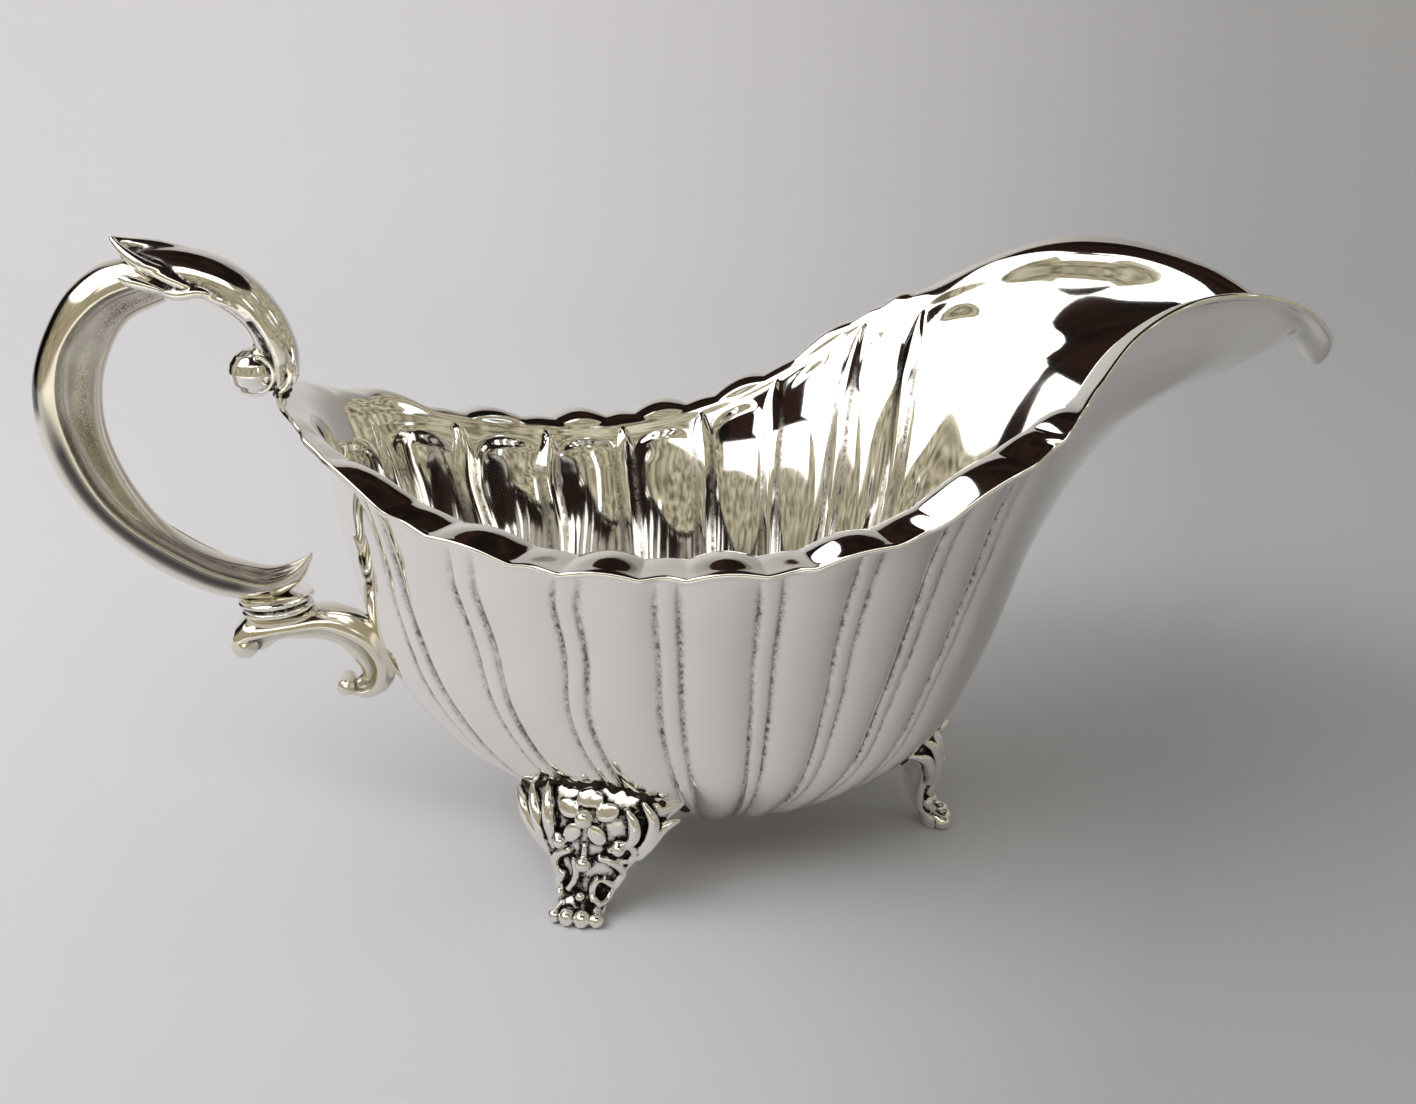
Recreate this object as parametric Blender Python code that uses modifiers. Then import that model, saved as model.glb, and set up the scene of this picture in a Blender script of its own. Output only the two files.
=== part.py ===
"""Silver sauce boat: a fluted bowl drawn out into a spout, a cast scroll handle and three cast feet.

Frame: +X points to the spout, Z is up, Y = 0 is the plane of symmetry, and the feet stand on Z = 0.
The lists below are in millimetres; MM turns them into Blender's metres.
Lobe coordinate s runs round half of the bowl: -1 on the handle's centre line, 0 to 7 on the eight
ribs, and 10 on the centre line of the lip. Level coordinate v runs up it, one unit a section.
"""

import math

import bmesh
import bpy
import numpy as np

MM = 0.001
BOWL_WALL = 1.1
EDGE_LEVEL = 8.0
NECK_LEVEL = 6.0
JOINT_GAP = 0.3
SOLDER_THICKNESS = 0.4

# The bowl's sections, each as (s, x, half width, z) where it crosses the centre lines and the ribs.
RIM = (
    (-1.0, -71.5, 0.0, 86.0), (0.0, -65.5, 19.5, 82.0), (1.0, -49.8, 35.0, 73.2),
    (2.0, -30.7, 46.0, 68.9), (3.0, -11.5, 51.2, 68.2), (4.0, 7.6, 55.0, 69.8),
    (5.0, 26.2, 56.6, 75.5), (6.0, 45.5, 54.0, 87.0), (7.0, 54.5, 47.0, 94.0),
    (7.6, 63.0, 39.3, 99.8), (8.2, 74.0, 33.8, 103.7), (8.8, 87.0, 28.0, 103.2),
    (9.3, 100.0, 19.0, 98.4), (9.7, 108.3, 9.5, 91.3), (10.0, 109.8, 0.0, 86.4),
)
NECK = (
    (-1.0, -64.5, 0.0, 77.0), (0.0, -57.5, 19.8, 73.0), (1.0, -44.3, 33.0, 67.3),
    (2.0, -27.5, 42.6, 65.0), (3.0, -11.0, 47.6, 64.5), (4.0, 6.2, 50.6, 65.6),
    (5.0, 22.0, 52.0, 71.0), (6.0, 38.5, 50.0, 81.0), (7.0, 50.0, 44.5, 88.0),
    (7.6, 58.0, 37.0, 93.0), (8.2, 70.0, 30.5, 96.5), (8.8, 83.0, 23.5, 96.0),
    (9.3, 92.5, 15.0, 93.8), (9.7, 98.0, 8.0, 91.0), (10.0, 100.0, 0.0, 89.2),
)
THROAT = (
    (-1.0, -62.5, 0.0, 67.0), (0.0, -54.0, 18.5, 62.5), (1.0, -41.5, 29.6, 60.0),
    (2.0, -26.0, 37.6, 60.0), (3.0, -10.5, 42.2, 59.8), (4.0, 5.5, 44.4, 60.5),
    (5.0, 20.0, 45.3, 64.5), (6.0, 34.0, 43.4, 71.0), (7.0, 46.0, 38.8, 78.0),
    (8.2, 60.0, 25.0, 79.0), (9.2, 69.5, 12.5, 79.5), (10.0, 76.5, 0.0, 79.5),
)
WALL = (
    (-1.0, -60.8, 0.0, 57.0), (0.0, -52.0, 17.6, 53.0), (1.0, -39.0, 28.2, 51.0),
    (2.0, -24.5, 35.4, 51.0), (3.0, -9.8, 39.3, 51.0), (4.0, 5.2, 40.6, 51.0),
    (5.0, 18.5, 39.8, 52.5), (6.0, 31.0, 36.6, 55.0), (7.0, 41.5, 30.8, 58.0),
    (8.2, 52.0, 19.5, 59.5), (9.2, 58.0, 9.0, 60.0), (10.0, 60.5, 0.0, 60.0),
)
# The ovals below them: x at the handle end and the spout end, half width, z behind, beside, before.
OVALS = (
    (-22.0, 23.0, 18.0, 11.2, 11.8, 11.4),
    (-43.0, 42.0, 32.4, 23.0, 24.5, 22.5),
    (-55.2, 51.5, 36.8, 39.0, 38.5, 40.0),
)
OVAL_STATIONS = (-1.0, 0.0, 1.0, 2.0, 3.0, 4.0, 5.0, 6.0, 7.0, 8.5, 10.0)
OVAL_DEGREES = (-90.0, -59.5, -42.0, -27.0, -11.2, 3.6, 18.0, 31.0, 43.5, 66.0, 90.0)
BOTTOM = (2.0, 0.0, 8.0)
# The flange's crest lies this share of the way from the edge to the neck, and is lifted by station.
CREST_SHARE = (0.45, 0.45, 0.2)
CREST_STATIONS = (-1.0, 7.0, 8.5, 9.3, 10.0)
CREST_LIFT = (0.0, 0.0, 0.6, 2.2, 4.0)

# The rim rolls over outwards between these lobe coordinates, in mm from the edge of RIM.
ROLL_START = (-0.4, 1.2)
ROLL_END = (5.8, 7.0)
ROLL_WIDTH = 5.7
ROLL_RISE = 0.4
EDGE_DROP = 0.4
NECK_SET_IN = 1.5
NECK_DROP = 2.2

# Fluting: wide lobes between narrow beads, each bead lying between two grooves.
LAST_RIB = 7
BEAD_HALF = 0.11
GROOVE = 0.13
LOBE_RISE = 0.38
LOBE_HEIGHT = 1.1
BEAD_HEIGHT = 0.6
FLUTE_MEAN = 0.6
SCALLOP_HALF = 0.2
SCALLOP_OUT = 1.3
SCALLOP_DIP = 0.4
ARCH_RISE = 1.8

# The handle lies in Y = 0. Each station is (x, z, depth, half width) in millimetres.
STEM_PATH = (
    (-92.4, 105.5, 8.2, 5.2), (-96.8, 103.1, 9.8, 5.8), (-101.7, 97.6, 10.8, 6.2),
    (-104.8, 89.8, 11.2, 6.3), (-105.1, 81.8, 10.8, 6.3), (-101.8, 71.6, 10.4, 6.2),
    (-94.4, 62.4, 9.4, 6.0), (-86.5, 56.6, 7.8, 5.8), (-79.5, 53.7, 6.6, 5.5),
    (-73.4, 54.0, 5.0, 4.8), (-69.6, 55.9, 2.8, 3.0), (-67.6, 57.8, 0.9, 0.9),
)
LEAF_PATH = (
    (-89.9, 106.3, 7.9, 5.2), (-84.0, 106.6, 8.8, 5.6), (-78.6, 104.4, 8.8, 5.4),
    (-74.4, 100.7, 8.6, 5.2), (-71.7, 96.0, 8.0, 5.1), (-70.6, 92.4, 6.6, 4.8),
    (-70.4, 89.2, 5.2, 4.3), (-70.7, 87.4, 4.2, 3.6), (-71.0, 85.9, 3.0, 2.8),
)
THUMB_TIP_PATH = (
    (-86.0, 109.6, 2.6, 4.2), (-90.5, 110.9, 1.9, 3.8), (-93.5, 111.4, 1.3, 2.6),
    (-96.0, 112.3, 0.6, 0.7),
)
BRACKET_PATH = (
    (-79.8, 44.9, 3.6, 3.4), (-78.2, 44.9, 5.0, 4.8), (-74.6, 45.3, 4.2, 4.8),
    (-70.8, 45.6, 3.6, 4.6), (-67.0, 46.2, 4.6, 4.4), (-62.8, 44.6, 6.4, 4.2),
    (-59.2, 41.4, 7.6, 4.0), (-57.7, 37.0, 6.8, 3.8), (-58.5, 33.9, 4.4, 3.2),
    (-60.6, 32.7, 2.4, 2.6), (-62.9, 33.7, 1.1, 2.0),
)
# Outlines across the paths, from the outer crest to the inner side: (outwards, sideways).
STEM_OUTLINE = ((0.5, 0.0), (0.42, 0.5), (0.1, 1.0), (-0.14, 0.56), (-0.4, 0.34), (-0.5, 0.0))
LEAF_OUTLINE = ((0.5, 0.0), (0.4, 0.6), (0.12, 0.95), (-0.14, 1.0), (-0.36, 0.5), (-0.5, 0.0))
ROUND_OUTLINE = ((0.5, 0.0), (0.38, 0.64), (0.0, 1.0), (-0.38, 0.64), (-0.5, 0.0))
BALL_CENTRE = (-75.0, 0.0, 90.0)
BALL_RADIUS = 3.7
COLLAR_CENTRE = (-74.0, 0.0, 48.95)
COLLAR_TILT = math.radians(4.0)
COLLAR_PROFILE = (
    (3.0, 1.15), (4.9, 1.1), (5.4, 0.6), (4.9, 0.1), (5.5, -0.45), (5.0, -1.05), (3.0, -1.15),
)

# Feet: toe position, and the direction it points in, in degrees from +X.
FEET = {
    "foot_left": (-26.0, 32.4, 112.0),
    "foot_right": (-26.0, -32.4, -112.0),
    "foot_spout": (47.0, 0.0, 0.0),
}
# Each level of a foot: z, centre behind the toe, half depth, half width, how far its wings sweep back.
FOOT_LEVELS = (
    (0.0, -3.0, 2.2, 4.2, 0.6), (1.6, -2.9, 2.9, 5.0, 0.9), (3.2, -3.8, 2.4, 4.8, 0.9),
    (4.6, -5.2, 1.8, 4.8, 0.8), (7.4, -6.0, 1.7, 6.0, 1.0), (11.0, -5.6, 2.0, 7.8, 1.6),
    (14.8, -4.9, 2.4, 10.2, 2.8), (18.2, -4.8, 3.0, 13.6, 5.0), (20.6, -5.6, 3.6, 15.6, 6.6),
    (23.2, -7.4, 4.0, 14.2, 6.0), (26.0, -11.0, 4.2, 9.0, 3.0),
)


def spline(knots, values, at):
    """Smooth curve through the rows of values at the knots, read at each number in at."""
    knots = np.asarray(knots, float)
    values = np.asarray(values, float)
    gaps = np.diff(knots)
    slopes = np.diff(values, axis=0) / gaps[:, None]
    inner = slopes[:-1] * gaps[1:, None] + slopes[1:] * gaps[:-1, None]
    inner = inner / (gaps[1:] + gaps[:-1])[:, None]
    tangents = np.vstack([slopes[:1], inner, slopes[-1:]])
    i = np.clip(np.searchsorted(knots, at, side="right") - 1, 0, len(knots) - 2)
    gap = gaps[i][:, None]
    u = ((at - knots[i]) / gaps[i])[:, None]
    start = (2 * u**3 - 3 * u**2 + 1) * values[i] + (u**3 - 2 * u**2 + u) * gap * tangents[i]
    end = (3 * u**2 - 2 * u**3) * values[i + 1] + (u**3 - u**2) * gap * tangents[i + 1]
    return start + end


def smooth_step(low, high, value):
    """0 below low, 1 above high, and smooth between."""
    u = np.clip((value - low) / (high - low), 0.0, 1.0)
    return u * u * (3.0 - 2.0 * u)


def section(rows, s):
    """A bowl section at lobe coordinates s, smooth across both centre lines."""
    rows = np.asarray(rows, float)
    flip = np.array([1.0, 1.0, -1.0, 1.0])
    before = rows[1:3][::-1] * flip
    before[:, 0] = 2 * rows[0, 0] - before[:, 0]
    after = rows[-3:-1][::-1] * flip
    after[:, 0] = 2 * rows[-1, 0] - after[:, 0]
    rows = np.vstack([before, rows, after])
    return spline(rows[:, 0], rows[:, 1:], s)


def oval(shape, s):
    """A lower section: an oval that is longer or shorter at each end."""
    x_back, x_front, half_width, z_back, z_side, z_front = shape
    degrees = spline(OVAL_STATIONS, np.array(OVAL_DEGREES)[:, None], s)[:, 0]
    along = np.sin(np.radians(degrees))
    front = np.maximum(along, 0.0)
    back = np.maximum(-along, 0.0)
    x = BOTTOM[0] + (x_front - BOTTOM[0]) * front - (BOTTOM[0] - x_back) * back
    y = half_width * np.cos(np.radians(degrees))
    z = z_side + (z_front - z_side) * front**2 + (z_back - z_side) * back**2
    return np.stack([x, y, z], axis=1)


def flute(s, v):
    """Height of the fluting above the smooth bowl."""
    near = np.clip(np.round(s), 0, LAST_RIB)
    q = np.abs(s - near)
    bead = BEAD_HEIGHT * np.sqrt(np.clip(1 - (q / BEAD_HALF) ** 2, 0, 1))
    lobe = LOBE_HEIGHT * (1 - (1 - np.clip((q - GROOVE) / LOBE_RISE, 0, 1)) ** 2)
    height = np.where(q < BEAD_HALF, bead, lobe) - FLUTE_MEAN
    return height * smooth_step(0.4, 1.4, v) * (1 - smooth_step(5.3, 6.6, v))


def scallop(s, v, outwards):
    """Moves the flange in and out and up and down, so that its edge is scalloped."""
    near = np.clip(np.round(s), 0, LAST_RIB)
    q = np.clip(np.abs(s - near), 0, 0.5)
    narrow = np.clip(q / SCALLOP_HALF, 0, 1)
    wide = np.clip((q - SCALLOP_HALF) / (0.5 - SCALLOP_HALF), 0, 1)
    out = -SCALLOP_OUT * np.sin(narrow * math.pi / 2) ** 2
    up = -SCALLOP_DIP * np.sin(narrow * math.pi / 2) ** 2 + ARCH_RISE * np.sin(wide * math.pi / 2)
    weight = smooth_step(5.9, 7.6, v) * smooth_step(-0.6, 0.0, s) * (1 - smooth_step(6.2, 6.8, s))
    lift = np.zeros_like(outwards)
    lift[..., 2] = up * weight
    return outwards * (out * weight)[..., None] + lift


def bowl_side(s, v, offset):
    """Points of the bowl's outer surface on the +Y side, as an array [s, v, xyz], moved out by offset."""
    edge = section(RIM, s)
    neck = section(NECK, s)
    crest = edge + (neck - edge) * np.array(CREST_SHARE)
    crest[:, 2] += np.interp(s, CREST_STATIONS, CREST_LIFT)
    inwards = (neck - edge) * (1.0, 1.0, 0.0)
    inwards /= np.maximum(np.linalg.norm(inwards, axis=1, keepdims=True), 1e-6)
    rolled = (smooth_step(*ROLL_START, s) * (1 - smooth_step(*ROLL_END, s)))[:, None]
    crest += (edge + inwards * ROLL_WIDTH + (0.0, 0.0, ROLL_RISE) - crest) * rolled
    low_neck = edge + inwards * (ROLL_WIDTH + NECK_SET_IN) - (0.0, 0.0, NECK_DROP)
    neck += (low_neck - neck) * rolled
    edge = edge - (0.0, 0.0, EDGE_DROP) * rolled
    bottom = np.tile(BOTTOM, (len(s), 1))
    cage = [bottom, *(oval(shape, s) for shape in OVALS), section(WALL, s), section(THROAT, s)]
    cage = np.stack([*cage, neck, crest, edge], axis=1)
    points = np.empty((len(s), len(v), 3))
    for i, rows in enumerate(cage):
        across = rows[1] * (-1.0, -1.0, 1.0) + (2 * BOTTOM[0], 0.0, 0.0)
        rows = np.vstack([across, rows])
        lengths = np.concatenate([[0.0], np.cumsum(np.linalg.norm(np.diff(rows, axis=0), axis=1))])
        at = np.interp(v, np.arange(-1, len(rows) - 1), lengths)
        points[i] = spline(lengths, rows, at)
    s_grid, v_grid = np.meshgrid(s, v, indexing="ij")
    normals = grid_normals(points)
    flat = normals * (1.0, 1.0, 0.0)
    flat /= np.maximum(np.linalg.norm(flat, axis=2, keepdims=True), 1e-6)
    points = points + normals * (flute(s_grid, v_grid) + offset)[..., None]
    return points + scallop(s_grid, v_grid, flat)


def grid_normals(points):
    """Outward unit normals of a grid of points, level on the centre lines of the bowl."""
    round_way = np.gradient(points, axis=0)
    round_way[0] = round_way[0] * (0.0, 1.0, 0.0)
    round_way[-1] = round_way[-1] * (0.0, 1.0, 0.0)
    up_way = np.gradient(points, axis=1)
    normals = np.cross(up_way, round_way)
    normals[:, 0] = (0.0, 0.0, -1.0)
    return normals / np.maximum(np.linalg.norm(normals, axis=2, keepdims=True), 1e-9)


def bowl_grid(offset, top):
    """The whole outer surface up to level top, as an array [s, v, xyz] that closes on itself in s."""
    s = [-1.0, -0.7, -0.4]
    for rib in range(LAST_RIB + 1):
        s += [rib - GROOVE, rib, rib + GROOVE]
        if rib < LAST_RIB:
            s += [rib + 0.37, rib + 0.63]
    s += [7.5, 8.0, 8.5, 9.0, 9.4, 9.7, 10.0]
    v = np.concatenate([[0.0, 0.6], np.arange(1.0, top + 0.01, 0.5)])
    side = bowl_side(np.array(s), v, offset)
    other = side[1:-1][::-1] * (1.0, -1.0, 1.0)
    return np.concatenate([side, other])


def add_grid_faces(mesh, rings, pole):
    """Quads between rows of vertices, each row a closed ring, and a fan to the pole."""
    for lower, upper in zip(rings[:-1], rings[1:]):
        for i in range(len(lower)):
            j = (i + 1) % len(lower)
            mesh.faces.new((lower[i], lower[j], upper[j], upper[i]))
    first = rings[0]
    for i in range(len(first)):
        mesh.faces.new((pole, first[(i + 1) % len(first)], first[i]))


def bowl_mesh(name, offset=0.0, top=EDGE_LEVEL, closed=False):
    """The bowl's outer surface; closed adds a lid, which makes it a solid."""
    grid = bowl_grid(offset, top) * MM
    mesh = bmesh.new()
    pole = mesh.verts.new(grid[0, 0])
    rings = [[mesh.verts.new(point) for point in grid[:, row]] for row in range(1, grid.shape[1])]
    add_grid_faces(mesh, rings, pole)
    if closed:
        lid = mesh.verts.new(grid[:, -1].mean(axis=0))
        last = rings[-1]
        for i in range(len(last)):
            mesh.faces.new((last[i], last[(i + 1) % len(last)], lid))
    bmesh.ops.recalc_face_normals(mesh, faces=mesh.faces)
    lowest = min(mesh.faces, key=lambda face: face.calc_center_median().z)
    if lowest.normal.z > 0:
        bmesh.ops.reverse_faces(mesh, faces=mesh.faces)
    return finish_mesh(mesh, name)


def rim_mesh(name, gap):
    """The room that the flange takes up at the handle end, with a gap all round it."""
    s = np.linspace(-1.0, 0.6, 9)
    v = np.linspace(NECK_LEVEL - 1.0, EDGE_LEVEL, 7)
    outside = bowl_side(s, v, gap)
    inside = bowl_side(s, v, -BOWL_WALL - gap)
    past = (outside[:, -1:] - outside[:, -2:-1]) + (inside[:, -1:] - inside[:, -2:-1])
    past *= gap / np.linalg.norm(past, axis=2, keepdims=True)
    outside = np.concatenate([outside, outside[:, -1:] + past], axis=1)
    inside = np.concatenate([inside, inside[:, -1:] + past], axis=1)
    side = np.concatenate([outside, inside[:, ::-1]], axis=1)
    return loft_mesh(name, [*(side[:0:-1] * (1.0, -1.0, 1.0)), *side])


def finish_mesh(mesh, name):
    """Turns a bmesh into a mesh and frees it."""
    data = bpy.data.meshes.new(name)
    mesh.to_mesh(data)
    mesh.free()
    return data


def loft_mesh(name, rings):
    """A closed solid through rings of points that have the same count, with flat ends."""
    mesh = bmesh.new()
    rows = [[mesh.verts.new(np.asarray(point) * MM) for point in ring] for ring in rings]
    for lower, upper in zip(rows[:-1], rows[1:]):
        for i in range(len(lower)):
            j = (i + 1) % len(lower)
            mesh.faces.new((lower[i], lower[j], upper[j], upper[i]))
    mesh.faces.new(rows[0][::-1])
    mesh.faces.new(rows[-1])
    bmesh.ops.recalc_face_normals(mesh, faces=mesh.faces)
    if mesh.calc_volume(signed=True) < 0:
        bmesh.ops.reverse_faces(mesh, faces=mesh.faces)
    return finish_mesh(mesh, name)


def mirrored_outline(outline):
    """Both halves of a half outline that starts and ends on the plane of symmetry."""
    return [*outline, *((out, -side) for out, side in outline[-2:0:-1])]


def sweep_rings(path, outline, count):
    """Rings across a path in Y = 0; the outline's first value counts to the right of the path."""
    path = np.asarray(path, float)
    steps = np.linalg.norm(np.diff(path[:, :2], axis=0), axis=1)
    lengths = np.concatenate([[0.0], np.cumsum(steps)])
    stations = spline(lengths, path, np.linspace(0.0, lengths[-1], count))
    tangents = np.gradient(stations[:, :2], axis=0)
    tangents /= np.linalg.norm(tangents, axis=1, keepdims=True)
    rings = []
    for (x, z, depth, half_width), (along_x, along_z) in zip(stations, tangents):
        ring = []
        for out, side in mirrored_outline(outline):
            ring.append((x + out * depth * along_z, side * half_width, z - out * depth * along_x))
        rings.append(ring)
    return rings


def foot_rings(toe_x, toe_y, heading):
    """Levels of a foot from the flat sole up into the bowl, each a crescent."""
    ahead = np.array([math.cos(math.radians(heading)), math.sin(math.radians(heading))])
    beside = np.array([-ahead[1], ahead[0]])
    rings = []
    for z, centre, half_depth, half_width, sweep in FOOT_LEVELS:
        ring = []
        for turn in np.arange(16) * math.tau / 16:
            across = math.sin(turn)
            forward = centre + half_depth * math.cos(turn) - sweep * across**2
            x, y = (toe_x, toe_y) + ahead * forward + beside * half_width * across
            ring.append((x, y, z))
        rings.append(ring)
    return rings


def make_material(name, colour, roughness):
    material = bpy.data.materials.new(name)
    material.use_nodes = True
    shader = material.node_tree.nodes["Principled BSDF"]
    shader.inputs["Base Color"].default_value = (*colour, 1.0)
    shader.inputs["Metallic"].default_value = 1.0
    shader.inputs["Roughness"].default_value = roughness
    return material


def make_collection(name):
    collection = bpy.data.collections.new(name)
    bpy.context.scene.collection.children.link(collection)
    return collection


def add_object(data, collection, material=None):
    obj = bpy.data.objects.new(data.name, data)
    if material:
        obj.data.materials.append(material)
    collection.objects.link(obj)
    return obj


def add_cutter(data, collection):
    cutter = add_object(data, collection)
    cutter.hide_render = True
    cutter.display_type = "WIRE"
    return cutter


def boolean(obj, operation, other):
    modifier = obj.modifiers.new(operation.lower() + "_" + other.name, "BOOLEAN")
    modifier.operation = operation
    modifier.object = other


def shade(obj, degrees):
    obj.data.shade_smooth()
    obj.data.set_sharp_from_angle(angle=math.radians(degrees))


def ball_mesh(name, centre, radius):
    mesh = bmesh.new()
    bmesh.ops.create_uvsphere(mesh, u_segments=16, v_segments=10, radius=radius * MM)
    bmesh.ops.translate(mesh, verts=mesh.verts, vec=[value * MM for value in centre])
    return finish_mesh(mesh, name)


def make_bowl(parts):
    """One fluted skin, thickened inwards to the sheet's gauge."""
    silver = make_material("bowl_silver", (0.86, 0.85, 0.82), 0.08)
    bowl = add_object(bowl_mesh("bowl"), parts, silver)
    wall = bowl.modifiers.new("wall", "SOLIDIFY")
    wall.thickness = BOWL_WALL * MM
    wall.offset = -1.0
    shade(bowl, 50)
    return bowl


def make_handle(parts, cutters, hulls, rims):
    """The stem, leaf cap, ball, collar and bracket, each clear of its neighbours by JOINT_GAP."""
    silver = make_material("handle_silver", (0.8, 0.79, 0.75), 0.12)
    stem = loft_mesh("handle_stem", sweep_rings(STEM_PATH, STEM_OUTLINE, 30))
    shade(add_object(stem, parts, silver), 40)
    leaf = loft_mesh("handle_leaf_cap", sweep_rings(LEAF_PATH[::-1], LEAF_OUTLINE, 18))
    leaf = add_object(leaf, parts, silver)
    tip = loft_mesh("thumb_tip_tool", sweep_rings(THUMB_TIP_PATH[::-1], ROUND_OUTLINE, 7))
    boolean(leaf, "UNION", add_cutter(tip, cutters))
    ball_room = ball_mesh("ball_room_tool", BALL_CENTRE, BALL_RADIUS + JOINT_GAP)
    boolean(leaf, "DIFFERENCE", add_cutter(ball_room, cutters))
    boolean(leaf, "DIFFERENCE", rims["outer"])
    shade(leaf, 40)
    shade(add_object(ball_mesh("handle_ball", BALL_CENTRE, BALL_RADIUS), parts, silver), 40)
    make_collar(parts, silver)
    bracket = loft_mesh("handle_bracket", sweep_rings(BRACKET_PATH, ROUND_OUTLINE, 24))
    bracket = add_object(bracket, parts, silver)
    boolean(bracket, "DIFFERENCE", hulls["outer"])
    shade(bracket, 40)


def make_collar(parts, silver):
    """A turned double ring between the stem and the bracket."""
    mesh = bmesh.new()
    verts = [mesh.verts.new((0.0, 0.0, COLLAR_PROFILE[0][1] * MM))]
    verts += [mesh.verts.new((radius * MM, 0.0, z * MM)) for radius, z in COLLAR_PROFILE]
    verts.append(mesh.verts.new((0.0, 0.0, COLLAR_PROFILE[-1][1] * MM)))
    for lower, upper in zip(verts[:-1], verts[1:]):
        mesh.edges.new((lower, upper))
    collar = add_object(finish_mesh(mesh, "handle_collar"), parts, silver)
    turn = collar.modifiers.new("turn", "SCREW")
    turn.steps = 24
    turn.render_steps = 24
    turn.use_merge_vertices = True
    turn.merge_threshold = 0.00001
    collar.location = [value * MM for value in COLLAR_CENTRE]
    collar.rotation_euler.y = -COLLAR_TILT
    shade(collar, 30)


def make_feet(parts, hulls):
    """Three equal cast feet, cut off where the bowl passes over them."""
    silver = make_material("foot_silver", (0.72, 0.71, 0.67), 0.2)
    for name, place in FEET.items():
        foot = add_object(loft_mesh(name, foot_rings(*place)), parts, silver)
        boolean(foot, "DIFFERENCE", hulls["outer"])
        shade(foot, 40)


def make_solder(parts, mesh, rooms, solder):
    """A thin pad in the joint between the bowl and one casting, cut from the casting's own shape."""
    pad = add_object(mesh, parts, solder)
    boolean(pad, "INTERSECT", rooms["middle"])
    boolean(pad, "DIFFERENCE", rooms["inner"])
    shade(pad, 30)


def main():
    for obj in list(bpy.data.objects):
        bpy.data.objects.remove(obj)
    parts = make_collection("sauce_boat")
    cutters = make_collection("cutters")
    offsets = {
        "inner": JOINT_GAP,
        "middle": JOINT_GAP + SOLDER_THICKNESS,
        "outer": 2 * JOINT_GAP + SOLDER_THICKNESS,
    }
    hulls = {}
    rims = {}
    for key, offset in offsets.items():
        hull = bowl_mesh("bowl_hull_" + key, offset, NECK_LEVEL, closed=True)
        hulls[key] = add_cutter(hull, cutters)
        rims[key] = add_cutter(rim_mesh("rim_room_" + key, offset), cutters)
    make_bowl(parts)
    make_handle(parts, cutters, hulls, rims)
    make_feet(parts, hulls)
    solder = make_material("solder_grey", (0.35, 0.34, 0.32), 0.5)
    for name, place in FEET.items():
        make_solder(parts, loft_mesh("solder_" + name, foot_rings(*place)), hulls, solder)
    bracket = loft_mesh("solder_bracket", sweep_rings(BRACKET_PATH, ROUND_OUTLINE, 24))
    make_solder(parts, bracket, hulls, solder)
    leaf = loft_mesh("solder_leaf_cap", sweep_rings(LEAF_PATH[::-1], LEAF_OUTLINE, 18))
    make_solder(parts, leaf, rims, solder)


main()
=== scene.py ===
"""Looks for the silver sauce boat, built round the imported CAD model.

Lists are in millimetres, and the stage is in metres. Lobe coordinate s runs round half of the bowl: -1 on
the handle's centre line, 0 to 7 on the eight ribs, 10 on the lip's. Level coordinate v runs up it.
"""

import math

import bmesh
import bpy
import numpy as np
from mathutils import Matrix, Vector
from mathutils.bvhtree import BVHTree


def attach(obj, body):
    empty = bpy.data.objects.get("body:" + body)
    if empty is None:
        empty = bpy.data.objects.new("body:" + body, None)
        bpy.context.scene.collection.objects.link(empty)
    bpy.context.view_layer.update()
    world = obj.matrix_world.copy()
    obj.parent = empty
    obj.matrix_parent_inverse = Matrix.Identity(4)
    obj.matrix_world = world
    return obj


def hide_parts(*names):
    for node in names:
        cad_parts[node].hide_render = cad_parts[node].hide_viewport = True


MM = 0.001
AIM = Vector((0.0, 0.0, 0.06))
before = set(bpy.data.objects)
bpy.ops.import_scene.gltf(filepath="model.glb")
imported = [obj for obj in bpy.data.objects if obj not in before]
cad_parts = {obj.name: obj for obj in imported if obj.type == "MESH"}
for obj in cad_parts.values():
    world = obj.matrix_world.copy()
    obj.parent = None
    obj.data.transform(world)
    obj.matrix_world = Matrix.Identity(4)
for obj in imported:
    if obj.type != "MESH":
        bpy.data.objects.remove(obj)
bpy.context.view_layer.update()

# ---------------------------------------------------------------- bowl
# Its sections, each as (s, x, half width, z) where it crosses the centre lines and the ribs.
RIM = (
    (-1.0, -71.5, 0.0, 86.0), (0.0, -65.5, 19.5, 82.0), (1.0, -49.8, 35.0, 73.2),
    (2.0, -30.7, 46.0, 68.9), (3.0, -11.5, 51.2, 68.2), (4.0, 7.6, 55.0, 69.8),
    (5.0, 26.2, 56.6, 75.5), (6.0, 45.5, 54.0, 87.0), (7.0, 54.5, 47.0, 94.0),
    (7.6, 63.0, 39.3, 99.8), (8.2, 74.0, 33.8, 103.7), (8.8, 87.0, 28.0, 103.2),
    (9.3, 100.0, 19.0, 98.4), (9.7, 108.3, 9.5, 91.3), (10.0, 109.8, 0.0, 86.4),
)
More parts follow.
